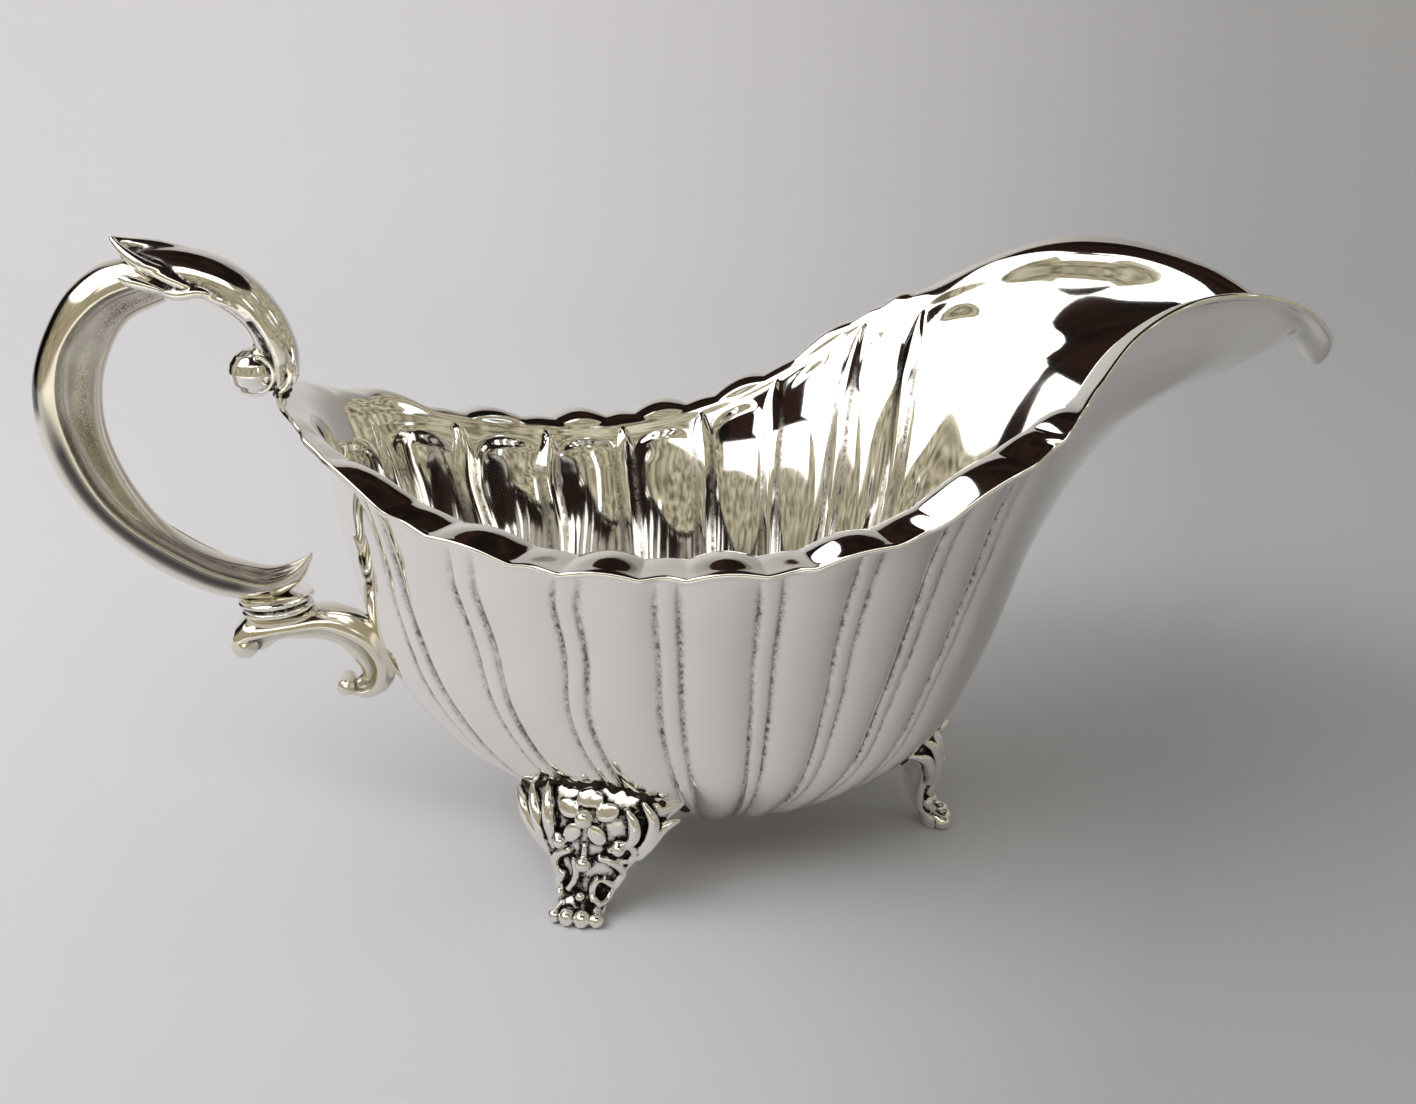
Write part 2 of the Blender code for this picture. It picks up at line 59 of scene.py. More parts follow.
NECK = (
    (-1.0, -64.5, 0.0, 77.0), (0.0, -57.5, 19.8, 73.0), (1.0, -44.3, 33.0, 67.3),
    (2.0, -27.5, 42.6, 65.0), (3.0, -11.0, 47.6, 64.5), (4.0, 6.2, 50.6, 65.6),
    (5.0, 22.0, 52.0, 71.0), (6.0, 38.5, 50.0, 81.0), (7.0, 50.0, 44.5, 88.0),
    (7.6, 58.0, 37.0, 93.0), (8.2, 70.0, 30.5, 96.5), (8.8, 83.0, 23.5, 96.0),
    (9.3, 92.5, 15.0, 93.8), (9.7, 98.0, 8.0, 91.0), (10.0, 100.0, 0.0, 89.2),
)
THROAT = (
    (-1.0, -62.5, 0.0, 67.0), (0.0, -54.0, 18.5, 62.5), (1.0, -41.5, 29.6, 60.0),
    (2.0, -26.0, 37.6, 60.0), (3.0, -10.5, 42.2, 59.8), (4.0, 5.5, 44.4, 60.5),
    (5.0, 20.0, 45.3, 64.5), (6.0, 34.0, 43.4, 71.0), (7.0, 46.0, 38.8, 78.0),
    (8.2, 60.0, 25.0, 79.0), (9.2, 69.5, 12.5, 79.5), (10.0, 76.5, 0.0, 79.5),
)
WALL = (
    (-1.0, -60.8, 0.0, 57.0), (0.0, -52.0, 17.6, 53.0), (1.0, -39.0, 28.2, 51.0),
    (2.0, -24.5, 35.4, 51.0), (3.0, -9.8, 39.3, 51.0), (4.0, 5.2, 40.6, 51.0),
    (5.0, 18.5, 39.8, 52.5), (6.0, 31.0, 36.6, 55.0), (7.0, 41.5, 30.8, 58.0),
    (8.2, 52.0, 19.5, 59.5), (9.2, 58.0, 9.0, 60.0), (10.0, 60.5, 0.0, 60.0),
)
# The ovals below them: x at the handle end and the spout end, half width, z behind, beside, before.
OVALS = (
    (-22.0, 23.0, 18.0, 11.2, 11.8, 11.4),
    (-43.0, 42.0, 32.4, 23.0, 24.5, 22.5),
    (-55.2, 51.5, 36.8, 39.0, 38.5, 40.0),
)
OVAL_STATIONS = (-1.0, 0.0, 1.0, 2.0, 3.0, 4.0, 5.0, 6.0, 7.0, 8.5, 10.0)
OVAL_DEGREES = (-90.0, -59.5, -42.0, -27.0, -11.2, 3.6, 18.0, 31.0, 43.5, 66.0, 90.0)
BOTTOM = (2.0, 0.0, 8.0)
CREST_SHARE = (0.45, 0.45, 0.2)
CREST_STATIONS = (-1.0, 7.0, 8.5, 9.3, 10.0)
CREST_LIFT = (0.0, 0.0, 0.6, 2.2, 4.0)
# The rim rolls over outwards between these lobe coordinates.
ROLL_START = (-0.4, 1.2)
ROLL_END = (5.8, 7.0)
ROLL_WIDTH = 5.7
ROLL_RISE = 0.25
NECK_SET_IN = 1.5
NECK_DROP = 2.2
EDGE_DROP = 0.3
LAST_RIB = 7
WALL_THICKNESS = 1.1
# Fluting outside: wide lobes between narrow beads. Heights are in mm and widths in lobes.
BEAD_HALF = 0.105
BEAD_HEIGHT = 0.62
LOBE_START = 0.125
LOBE_RISE = 0.375
LOBE_HEIGHT = 1.15
FLUTE_MEAN = 0.62
# Fluting inside: narrow ribs that end in points, and lobes that end in arches, at these levels.
RIB_HALF = 0.13
RIB_DEPTH = 0.7
LOBE_SWELL = 0.45
RIB_TOP = 6.35
RIB_TAPER = 0.75
ARCH_FOOT = 5.5
ARCH_HEIGHT = 0.42
# The scalloped edge.
SCALLOP_HALF = 0.2
SCALLOP_OUT = 1.0
SCALLOP_DIP = 0.4
SCALLOP_RISE = 1.8
# Tarnish and painted shade in the grooves beside the beads.
SHADE_AND_TARNISH_PLACE = 0.118
SHADE_AND_TARNISH_SPREAD = 0.035
COLUMN_STEPS = (0.0, 0.02, 0.04, 0.06, 0.08, 0.095, 0.108, 0.118, 0.13, 0.148, 0.17, 0.2, 0.235,
                0.27, 0.31, 0.355, 0.4, 0.45)
EDGE_TURNS = np.radians([25.0, 55.0, 90.0, 125.0, 155.0])


def spline(knots, values, at):
    """Smooth curve through the rows of values at the knots, read at each number in at."""
    knots = np.asarray(knots, float)
    values = np.asarray(values, float)
    gaps = np.diff(knots)
    slopes = np.diff(values, axis=0) / gaps[:, None]
    inner = slopes[:-1] * gaps[1:, None] + slopes[1:] * gaps[:-1, None]
    inner = inner / (gaps[1:] + gaps[:-1])[:, None]
    tangents = np.vstack([slopes[:1], inner, slopes[-1:]])
    i = np.clip(np.searchsorted(knots, at, side="right") - 1, 0, len(knots) - 2)
    gap = gaps[i][:, None]
    u = ((at - knots[i]) / gaps[i])[:, None]
    start = (2 * u**3 - 3 * u**2 + 1) * values[i] + (u**3 - 2 * u**2 + u) * gap * tangents[i]
    end = (3 * u**2 - 2 * u**3) * values[i + 1] + (u**3 - u**2) * gap * tangents[i + 1]
    return start + end


def curve_through(rows, count):
    """count points evenly along a smooth curve through the rows, measured on the first two values."""
    rows = np.asarray(rows, float)
    steps = np.linalg.norm(np.diff(rows[:, :2], axis=0), axis=1)
    lengths = np.concatenate([[0.0], np.cumsum(steps)])
    return spline(lengths, rows, np.linspace(0.0, lengths[-1], count))


def smooth_step(low, high, value):
    """0 below low, 1 above high, and smooth between."""
    u = np.clip((value - low) / (high - low), 0.0, 1.0)
    return u * u * (3.0 - 2.0 * u)


def section(rows, s):
    """A bowl section at lobe coordinates s, smooth across both centre lines."""
    rows = np.asarray(rows, float)
    flip = np.array([1.0, 1.0, -1.0, 1.0])
    before = rows[1:3][::-1] * flip
    before[:, 0] = 2 * rows[0, 0] - before[:, 0]
    after = rows[-3:-1][::-1] * flip
    after[:, 0] = 2 * rows[-1, 0] - after[:, 0]
    rows = np.vstack([before, rows, after])
    return spline(rows[:, 0], rows[:, 1:], s)


def oval(shape, s):
    """A lower section: an oval that is longer or shorter at each end."""
    x_back, x_front, half_width, z_back, z_side, z_front = shape
    degrees = spline(OVAL_STATIONS, np.array(OVAL_DEGREES)[:, None], s)[:, 0]
    along = np.sin(np.radians(degrees))
    front = np.maximum(along, 0.0)
    back = np.maximum(-along, 0.0)
    x = BOTTOM[0] + (x_front - BOTTOM[0]) * front - (BOTTOM[0] - x_back) * back
    y = half_width * np.cos(np.radians(degrees))
    z = z_side + (z_front - z_side) * front**2 + (z_back - z_side) * back**2
    return np.stack([x, y, z], axis=1)


def smooth_bowl(s, v):
    """Points of the bowl without its fluting, on the +Y side, as an array [s, v, xyz]."""
    edge = section(RIM, s)
    neck = section(NECK, s)
    crest = edge + (neck - edge) * np.array(CREST_SHARE)
    crest[:, 2] += np.interp(s, CREST_STATIONS, CREST_LIFT)
    inwards = (neck - edge) * (1.0, 1.0, 0.0)
    inwards /= np.maximum(np.linalg.norm(inwards, axis=1, keepdims=True), 1e-6)
    rolled = (smooth_step(*ROLL_START, s) * (1 - smooth_step(*ROLL_END, s)))[:, None]
    crest += (edge + inwards * ROLL_WIDTH + (0.0, 0.0, ROLL_RISE) - crest) * rolled
    neck += (edge + inwards * (ROLL_WIDTH + NECK_SET_IN) - (0.0, 0.0, NECK_DROP) - neck) * rolled
    edge = edge - (0.0, 0.0, EDGE_DROP) * rolled
    bottom = np.tile(BOTTOM, (len(s), 1))
    cage = [bottom, *(oval(shape, s) for shape in OVALS), section(WALL, s), section(THROAT, s)]
    cage = np.stack([*cage, neck, crest, edge], axis=1)
    points = np.empty((len(s), len(v), 3))
    for i, rows in enumerate(cage):
        across = rows[1] * (-1.0, -1.0, 1.0) + (2 * BOTTOM[0], 0.0, 0.0)
        rows = np.vstack([across, rows])
        lengths = np.concatenate([[0.0], np.cumsum(np.linalg.norm(np.diff(rows, axis=0), axis=1))])
        at = np.interp(v, np.arange(-1, len(rows) - 1), lengths)
        points[i] = spline(lengths, rows, at)
    return points


def grid_normals(points):
    """Outward unit normals of a grid of points, level on the centre lines of the bowl."""
    round_way = np.gradient(points, axis=0)
    round_way[0] = round_way[0] * (0.0, 1.0, 0.0)
    round_way[-1] = round_way[-1] * (0.0, 1.0, 0.0)
    up_way = np.gradient(points, axis=1)
    normals = np.cross(up_way, round_way)
    normals[:, 0] = (0.0, 0.0, -1.0)
    return normals / np.maximum(np.linalg.norm(normals, axis=2, keepdims=True), 1e-9)


def rib_distance(s):
    """Distance to the nearest rib, in lobes."""
    return np.abs(s - np.clip(np.round(s), 0, LAST_RIB))


def flute(s, v, inside):
    """Height of the fluting above the smooth bowl, on its outer or inner side."""
    q = rib_distance(s)
    low = smooth_step(0.35, 1.5, v)
    if not inside:
        bead = BEAD_HEIGHT * np.sqrt(np.clip(1 - (q / BEAD_HALF) ** 2, 0, 1))
        lobe = LOBE_HEIGHT * (1 - (1 - np.clip((q - LOBE_START) / LOBE_RISE, 0, 1)) ** 2.2)
        height = np.where(q < LOBE_START, bead, lobe) - FLUTE_MEAN
        return height * low * (1 - smooth_step(5.2, 6.5, v))
    height = RIB_DEPTH * (1 - np.exp(-((q / RIB_HALF) ** 1.6)))
    height += LOBE_SWELL * np.sin(math.pi * q) ** 2 - FLUTE_MEAN
    arch = np.sqrt(np.clip(1 - ((0.5 - q) / (0.5 - RIB_HALF)) ** 2, 0, 1))
    point = RIB_TOP - RIB_TAPER * (q / RIB_HALF) ** 0.7
    top = np.where(q < RIB_HALF, point, ARCH_FOOT + ARCH_HEIGHT * arch)
    return height * low * (1 - smooth_step(top - 0.22, top + 0.04, v))


def scallop(s, v, outwards):
    """Moves the flange in and out and up and down, so that its edge is scalloped."""
    q = np.clip(rib_distance(s), 0, 0.5)
    narrow = np.sin(np.clip(q / SCALLOP_HALF, 0, 1) * math.pi / 2) ** 2
    wide = np.sin(np.clip((q - SCALLOP_HALF) / (0.5 - SCALLOP_HALF), 0, 1) * math.pi / 2)
    out = -SCALLOP_OUT * narrow
    up = -SCALLOP_DIP * narrow + SCALLOP_RISE * wide
    along = smooth_step(-0.6, 0.0, s) * (1 - smooth_step(6.2, 6.8, s))
    weight = smooth_step(6.7, 8.0, v) * along
    crown = smooth_step(6.6, 7.5, v) * (1 - 0.5 * smooth_step(7.35, 8.1, v)) * along
    lift = np.zeros_like(outwards)
    lift[..., 2] = up * crown
    return outwards * (out * weight)[..., None] + lift


def lobe_columns():
    """Lobe coordinates of the bowl's columns: closer together over the beads and grooves."""
    columns = set()
    for rib in range(LAST_RIB + 1):
        for step in COLUMN_STEPS:
            columns.update((round(rib - step, 4), round(rib + step, 4)))
        columns.add(rib + 0.5)
    columns.update(np.round(np.linspace(-1.0, -0.5, 8), 4))
    columns.update(np.round(np.linspace(7.5, 10.0, 34), 4))
    return np.array(sorted(columns))


def both_sides(side):
    """The whole surface from its +Y half, as columns that close on themselves."""
    flip = np.array([1.0, -1.0, 1.0]) if side.shape[-1] == 3 else 1.0
    return np.concatenate([side, side[1:-1][::-1] * flip])


def skin_of(outer):
    """A search tree of the bowl's outer skin, in metres, facing out."""
    rows = both_sides(outer)
    count, levels = rows.shape[:2]
    index = np.arange(count * levels).reshape(count, levels)
    after = np.roll(index, -1, axis=0)
    quads = np.stack([index[:, :-1], after[:, :-1], after[:, 1:], index[:, 1:]], axis=-1).reshape(-1, 4)
    tree = BVHTree.FromPolygons((rows.reshape(-1, 3) * MM).tolist(), quads.tolist())
    _, normal, _, _ = tree.find_nearest(Vector((0.0, 0.1, 0.02)))
    if normal.y < 0:
        quads = quads[:, ::-1]
        tree = BVHTree.FromPolygons((rows.reshape(-1, 3) * MM).tolist(), quads.tolist())
    return tree


def closed_surface(name, rows, first_pole, last_pole, layers):
    """A closed mesh from rings of points in mm; layers gives float attributes, ring by ring."""
    count = rows.shape[0]
    levels = rows.shape[1]
    points = np.vstack([rows.transpose(1, 0, 2).reshape(-1, 3), [first_pole, last_pole]]) * MM
    index = np.arange(count * levels).reshape(levels, count)
    after = np.roll(index, -1, axis=1)
    quads = np.stack([index[:-1], after[:-1], after[1:], index[1:]], axis=-1).reshape(-1, 4)
    faces = quads.tolist()
    low = count * levels
    faces += [(low, b, a) for a, b in zip(index[0], after[0])]
    faces += [(low + 1, a, b) for a, b in zip(index[-1], after[-1])]
    data = bpy.data.meshes.new(name)
    data.from_pydata(points.tolist(), [], faces)
    for key, values in layers.items():
        flat = np.concatenate([values.T.reshape(-1), [values[:, 0].mean(), values[:, -1].mean()]])
        layer = data.attributes.new(key, "FLOAT", "POINT")
        layer.data.foreach_set("value", flat.astype(np.float32))
    data.shade_smooth()
    return data


def make_bowl():
    """The bowl's closed shell, fluted on both sides, and the search tree of its outer skin."""
    s = lobe_columns()
    v = [np.linspace(0.12, 5.0, 24), np.linspace(5.08, 6.4, 24), np.linspace(6.5, 8.0, 16)]
    v = np.concatenate(v)
    s_grid, v_grid = np.meshgrid(s, v, indexing="ij")
    base = smooth_bowl(s, v)
    normals = grid_normals(base)
    level = normals * (1.0, 1.0, 0.0)
    level /= np.maximum(np.linalg.norm(level, axis=2, keepdims=True), 1e-6)
    moved = scallop(s_grid, v_grid, level)
    outer = base + normals * flute(s_grid, v_grid, False)[..., None] + moved
    carried = base + moved
    carried_normals = grid_normals(carried)
    inner = carried + carried_normals * (flute(s_grid, v_grid, True) - WALL_THICKNESS)[..., None]
    edge_mid = (outer[:, -1] + inner[:, -1]) / 2
    past = outer[:, -1] - outer[:, -3]
    past /= np.linalg.norm(past, axis=1, keepdims=True)
    across = (outer[:, -1] - inner[:, -1]) / 2
    rounded = [edge_mid + across * math.cos(turn) + past * 0.5 * math.sin(turn) for turn in EDGE_TURNS]
    rounded = np.stack(rounded, axis=1)
    side = np.concatenate([outer, rounded, inner[:, ::-1]], axis=1)
    # The groove layer: tarnish and painted shade in the grooves beside the beads, on the lower walls.
    groove = np.exp(-(((rib_distance(s_grid) - SHADE_AND_TARNISH_PLACE) / SHADE_AND_TARNISH_SPREAD) ** 2))
    groove *= smooth_step(0.8, 1.6, v_grid) * (1 - smooth_step(4.9, 6.0, v_grid))
    groove = np.concatenate([groove, np.zeros((len(s), len(EDGE_TURNS))), groove[:, ::-1]], axis=1)
    bottom = base[:, 0].mean(axis=0)
    low_pole = (bottom[0], 0.0, outer[:, 0, 2].min() - 0.02)
    top_pole = (bottom[0], 0.0, inner[:, 0, 2].min())
    layers = {"groove": both_sides(groove)}
    shell = closed_surface("bowl_shell", both_sides(side), low_pole, top_pole, layers)
    return shell, skin_of(outer)


# ---------------------------------------------------------------- materials
def add_node(tree, kind, **settings):
    """A new node with the given settings."""
    node = tree.nodes.new(kind)
    for key, value in settings.items():
        setattr(node, key, value)
    return node


def ramp(tree, source, stops):
    """A colour ramp over source; each stop is (position, colour or grey)."""
    node = add_node(tree, "ShaderNodeValToRGB")
    points = node.color_ramp.elements
    while len(points) < len(stops):
        points.new(0.5)
    for point, (position, colour) in zip(points, stops):
        point.position = position
        point.color = (*colour, 1.0) if isinstance(colour, tuple) else (colour, colour, colour, 1.0)
    tree.links.new(source, node.inputs[0])
    return node.outputs[0]


def math_node(tree, operation, a, b):
    """The result of a Math node; a and b are sockets or numbers."""
    node = add_node(tree, "ShaderNodeMath", operation=operation)
    for socket, value in zip(node.inputs, (a, b)):
        if isinstance(value, (int, float)):
            socket.default_value = value
        else:
            tree.links.new(value, socket)
    return node.outputs[0]


def noise(tree, coordinates, scale, detail=3.0, roughness=0.55, distortion=0.0):
    """The value of a noise texture at the coordinates."""
    node = add_node(tree, "ShaderNodeTexNoise")
    node.inputs["Scale"].default_value = scale
    node.inputs["Detail"].default_value = detail
    node.inputs["Roughness"].default_value = roughness
    node.inputs["Distortion"].default_value = distortion
    tree.links.new(coordinates, node.inputs["Vector"])
    return node.outputs[0]


def mix_colour(tree, factor, a, b):
    """Colour a where factor is 0 and b where it is 1; each is a socket or a tuple."""
    node = add_node(tree, "ShaderNodeMix", data_type="RGBA")
    tree.links.new(factor, node.inputs[0])
    for socket, value in zip((node.inputs[6], node.inputs[7]), (a, b)):
        if isinstance(value, tuple):
            socket.default_value = (*value, 1.0)
        else:
            tree.links.new(value, socket)
    return node.outputs[2]


def silver(name, shade_and_tarnish_reach, polish, clean, dark, speckle):
    """Polished silver, with tarnish and painted shade where the mesh's groove layer says, and painted dark
    reflections in near black where stripe says.

    shade_and_tarnish_reach is the groove value that darkens it fully, and speckle the grain of the tarnish
    and shade.
    """
    material = bpy.data.materials.new(name)
    material.use_nodes = True
    tree = material.node_tree
    shader = tree.nodes["Principled BSDF"]
    shader.inputs["Metallic"].default_value = 1.0
    place = add_node(tree, "ShaderNodeTexCoord").outputs["Object"]
    layer = add_node(tree, "ShaderNodeAttribute", attribute_name="groove").outputs["Fac"]
    patches = ramp(tree, noise(tree, place, 90.0, 5.0, 0.65), ((0.3, 0.35), (0.72, 1.15)))
    specks = ramp(tree, noise(tree, place, speckle, 6.0, 0.8), ((0.42, 0.25), (0.62, 1.25)))
    amount = math_node(tree, "MULTIPLY", math_node(tree, "MULTIPLY", layer, patches), specks)
    amount = ramp(tree, amount, ((0.02, 0.0), (shade_and_tarnish_reach, 1.0)))
    duller = tuple(c * 0.965 for c in clean)
    warm = ramp(tree, noise(tree, place, 35.0, 3.0), ((0.35, clean), (0.7, duller)))
    stripe = add_node(tree, "ShaderNodeAttribute", attribute_name="stripe").outputs["Fac"]
    # Painted dark reflections: near black where the stripe layer says.
    colour = mix_colour(tree, stripe, mix_colour(tree, amount, warm, dark), (0.03, 0.027, 0.03))
    tree.links.new(colour, shader.inputs["Base Color"])
    smudge = ramp(tree, noise(tree, place, 60.0, 6.0, 0.7), ((0.35, polish), (0.75, polish * 1.9)))
    rough = mix_colour(tree, amount, smudge, (0.42, 0.42, 0.42))
    tree.links.new(rough, shader.inputs["Roughness"])
    bump = add_node(tree, "ShaderNodeBump")
    bump.inputs["Strength"].default_value = 0.05
    bump.inputs["Distance"].default_value = 0.00006
    fine = noise(tree, place, 420.0, 4.0, 0.6)
    tree.links.new(fine, bump.inputs["Height"])
    tree.links.new(bump.outputs[0], shader.inputs["Normal"])
    return material


def add_piece(data, material, node):
    """One visible piece that stands in for a node of the CAD model."""
    piece = bpy.data.objects.new(data.name, data)
    bpy.context.scene.collection.objects.link(piece)
    data.materials.clear()
    data.materials.append(material)
    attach(piece, "root")
    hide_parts(node)


# ---------------------------------------------------------------- handle
# The inner side of a section, from the side edge in to the spine: (depth, share of the half width).
COVE = ((0.02, 0.99), (0.05, 0.93), (0.1, 0.83), (0.18, 0.7), (0.3, 0.58), (0.45, 0.5), (0.6, 0.45),
        (0.75, 0.39), (0.87, 0.3), (0.95, 0.19), (0.99, 0.08), (1.0, 0.0))
# Tarnish and painted shade in the stem's hollow: how strong at each of these depths in from the side edge.
HOLLOW_DEPTHS = (0.0, 0.03, 0.1, 0.2, 0.35, 0.6, 0.8, 0.95)
HOLLOW_SHADE_AND_TARNISH = (0.2, 1.5, 1.1, 0.45, 0.8, 1.1, 0.5, 0.0)
# Dark bands painted on the stem in place of dark reflections: how strong along it, then how strong round
# the section from crest to edge, and how far the low one reaches over the edge.
LOW_STRIPE = ((0.0, 0.3, 0.42, 0.84, 0.93), (0.0, 0.0, 0.92, 0.92, 0.0))
LOW_STRIPE_ACROSS = ((0.9, 1.12, 1.42, 1.54), (0.0, 1.0, 1.0, 0.0))
HIGH_STRIPE = ((0.13, 0.2, 0.33, 0.36), (0.0, 0.95, 0.95, 0.0))
HIGH_STRIPE_ACROSS = ((0.25, 0.5, 0.85, 1.0), (0.0, 1.0, 1.0, 0.0))
LOW_STRIPE_OVER = ((0.0, 0.04, 0.12, 0.2), (0.0, 0.6, 0.5, 0.0))
# The curves of the stem and the leaf in Y = 0, as (x, z): outer crest, side edge and inner spine.
STEM_OUTER = ((-93.2, 109.6), (-97.9, 108.4), (-103.0, 104.8), (-107.7, 97.7), (-110.5, 89.5),
              (-110.4, 81.0), (-106.7, 70.6), (-99.4, 61.5), (-90.2, 54.3), (-79.9, 50.4),
              (-73.4, 50.6), (-69.4, 53.4), (-67.5, 57.4))
STEM_EDGE = ((-89.3, 106.4), (-97.3, 103.5), (-104.3, 95.6), (-106.0, 87.4), (-104.5, 79.0),
             (-99.3, 68.6), (-90.3, 60.9), (-80.9, 55.6), (-74.4, 53.9), (-70.3, 55.2), (-67.7, 57.8))
STEM_INNER = ((-87.5, 102.2), (-94.1, 99.1), (-98.9, 90.9), (-99.8, 82.4), (-96.8, 72.0),
              (-89.5, 62.0), (-79.9, 57.1), (-73.6, 55.9), (-70.2, 56.7), (-67.8, 58.0))
LEAF_OUTER = ((-94.0, 110.4), (-91.3, 111.0), (-85.1, 111.0), (-78.9, 109.2), (-72.9, 104.7),
              (-68.5, 97.6), (-67.3, 91.7), (-68.0, 88.3), (-70.2, 86.9))
LEAF_EDGE = ((-90.4, 105.6), (-88.0, 105.1), (-81.8, 104.6), (-75.7, 101.6), (-72.6, 97.1),
             (-71.1, 92.9), (-70.9, 89.0), (-71.2, 87.2))
LEAF_INNER = ((-89.6, 102.6), (-88.3, 102.2), (-82.7, 102.1), (-78.9, 100.0), (-75.9, 97.0),
              (-74.6, 93.6), (-73.8, 90.5), (-72.4, 87.6))
STEM_WIDTHS = (5.2, 6.0, 6.2, 6.2, 6.1, 6.0, 5.9, 5.6, 4.6, 0.5)
STEM_STEPS = 14
LEAF_WIDTHS = (4.6, 5.3, 5.5, 5.3, 5.1, 4.9, 4.4, 3.2)
CAST_STEPS = 12


def sweep_rings(outer, edge, inner, widths, count, steps):
    """Rings across a tapering solid in Y = 0, each from its crest over one side, in and back."""
    crest, border, spine = (curve_through(rows, count) for rows in (outer, edge, inner))
    width = np.interp(np.linspace(0, 1, count), np.linspace(0, 1, len(widths)), widths)
    rings = []
    for top, side, low, w in zip(crest, border, spine, width):
        half = []
        for turn in np.linspace(0, math.pi / 2, steps):
            flat = side + (top - side) * math.cos(turn)
            half.append((flat[0], w * math.sin(turn) ** 0.9, flat[1]))
        for depth, share in COVE:
            flat = side + (low - side) * depth
            half.append((flat[0], w * share, flat[1]))
        rings.append([*half, *((x, -y, z) for x, y, z in half[-2:0:-1])])
    return rings


def stem_mesh(count=150):
    """The stem, with layers for the tarnish and painted shade in its hollow and for the dark bands of painted
    reflection.
    """
    rings = sweep_rings(STEM_OUTER, STEM_EDGE, STEM_INNER, STEM_WIDTHS, count, STEM_STEPS)
    turns = np.linspace(0, math.pi / 2, STEM_STEPS)
    depths = np.array([depth for depth, _ in COVE])
    along = np.linspace(0, 1, count)
    low = [np.interp(turns, *LOW_STRIPE_ACROSS), np.interp(depths, *LOW_STRIPE_OVER)]
    high = [np.interp(turns, *HIGH_STRIPE_ACROSS), np.zeros(len(depths))]
    hollow = [np.zeros(STEM_STEPS), np.interp(depths, HOLLOW_DEPTHS, HOLLOW_SHADE_AND_TARNISH)]
    stripe = np.outer(np.concatenate(low), np.interp(along, *LOW_STRIPE))
    stripe += np.outer(np.concatenate(high), np.interp(along, *HIGH_STRIPE))
    shade_and_tarnish = np.outer(np.concatenate(hollow), np.ones(count))
    layers = {"groove": shade_and_tarnish, "stripe": stripe}
    layers = {key: np.concatenate([half, half[-2:0:-1]]) for key, half in layers.items()}
    rows = np.array(rings).transpose(1, 0, 2)
    return closed_surface("handle_scroll", rows, rows[:, 0].mean(axis=0), rows[:, -1].mean(axis=0), layers)


# ---------------------------------------------------------------- cast pieces, melted together
def capped_faces(rings, sides):
    """Faces through rings of points that lie between one first point and one last point."""
    faces = []
    for a in range(1, 1 + (rings - 1) * sides, sides):
        b = a + sides
        for j in range(sides):
            k = (j + 1) % sides
            faces.append((a + j, a + k, b + k, b + j))
    last = 1 + (rings - 1) * sides
    for j in range(sides):
        k = (j + 1) % sides
        faces.append((0, 1 + k, 1 + j))
        faces.append((last + sides, last + j, last + k))
    return faces


def tube_faces(points, radii, squash=(), sides=10):
    """Points and faces of a closed tube along points in mm, with its own radius at each one."""
    points = np.asarray(points, float)
    tangents = np.gradient(points, axis=0)
    tangents /= np.linalg.norm(tangents, axis=1, keepdims=True)
    verts = [points[0] - tangents[0] * radii[0] * 0.7]
    side = np.cross(tangents[0], (0.31, 0.2, 0.93))
    for i, (point, tangent) in enumerate(zip(points, tangents)):
        side = side - tangent * side.dot(tangent)
        side /= np.linalg.norm(side)
        up = np.cross(tangent, side)
        if len(squash):
            up = np.asarray(squash, float) - tangent * tangent.dot(squash)
            up /= np.linalg.norm(up)
            side = np.cross(up, tangent)
        for turn in np.arange(sides) * math.tau / sides:
            verts.append(point + radii[i] * (side * math.cos(turn) + up * math.sin(turn)))
    verts.append(points[-1] + tangents[-1] * radii[-1] * 0.7)
    return verts, capped_faces(len(points), sides)


def blob_faces(centre, axes, sizes, sides=16):
    """Points and faces of an ellipsoid with the given axes and half sizes in mm."""
    axes = np.asarray(axes, float)
    levels = np.cos(np.linspace(math.pi, 0, 9))[1:-1]
    verts = [centre - axes[2] * sizes[2]]
    for level in levels:
        reach = math.sqrt(1 - level * level)
        for turn in np.arange(sides) * math.tau / sides:
            offset = axes[0] * sizes[0] * reach * math.cos(turn)
            offset = offset + axes[1] * sizes[1] * reach * math.sin(turn)
            verts.append(centre + offset + axes[2] * sizes[2] * level)
    verts.append(centre + axes[2] * sizes[2])
    return verts, capped_faces(len(levels), sides)


def ring_faces(rings):
    """Points and faces of a closed loft through rings of the same count."""
    count = len(rings[0])
    verts = [point for ring in rings for point in ring]
    faces = []
    for i in range(len(rings) - 1):
        for j in range(count):
            k = (j + 1) % count
            low, high = i * count, (i + 1) * count
            faces.append((low + j, low + k, high + k, high + j))
    faces.append(tuple(range(count))[::-1])
    faces.append(tuple(range((len(rings) - 1) * count, len(rings) * count)))
    return verts, faces


# How sunk a point lies: rounds of smoothing, then the weight of how far it has moved out by then.
SUNK_ROUNDS = ((8, 1.6), (32, 0.7))


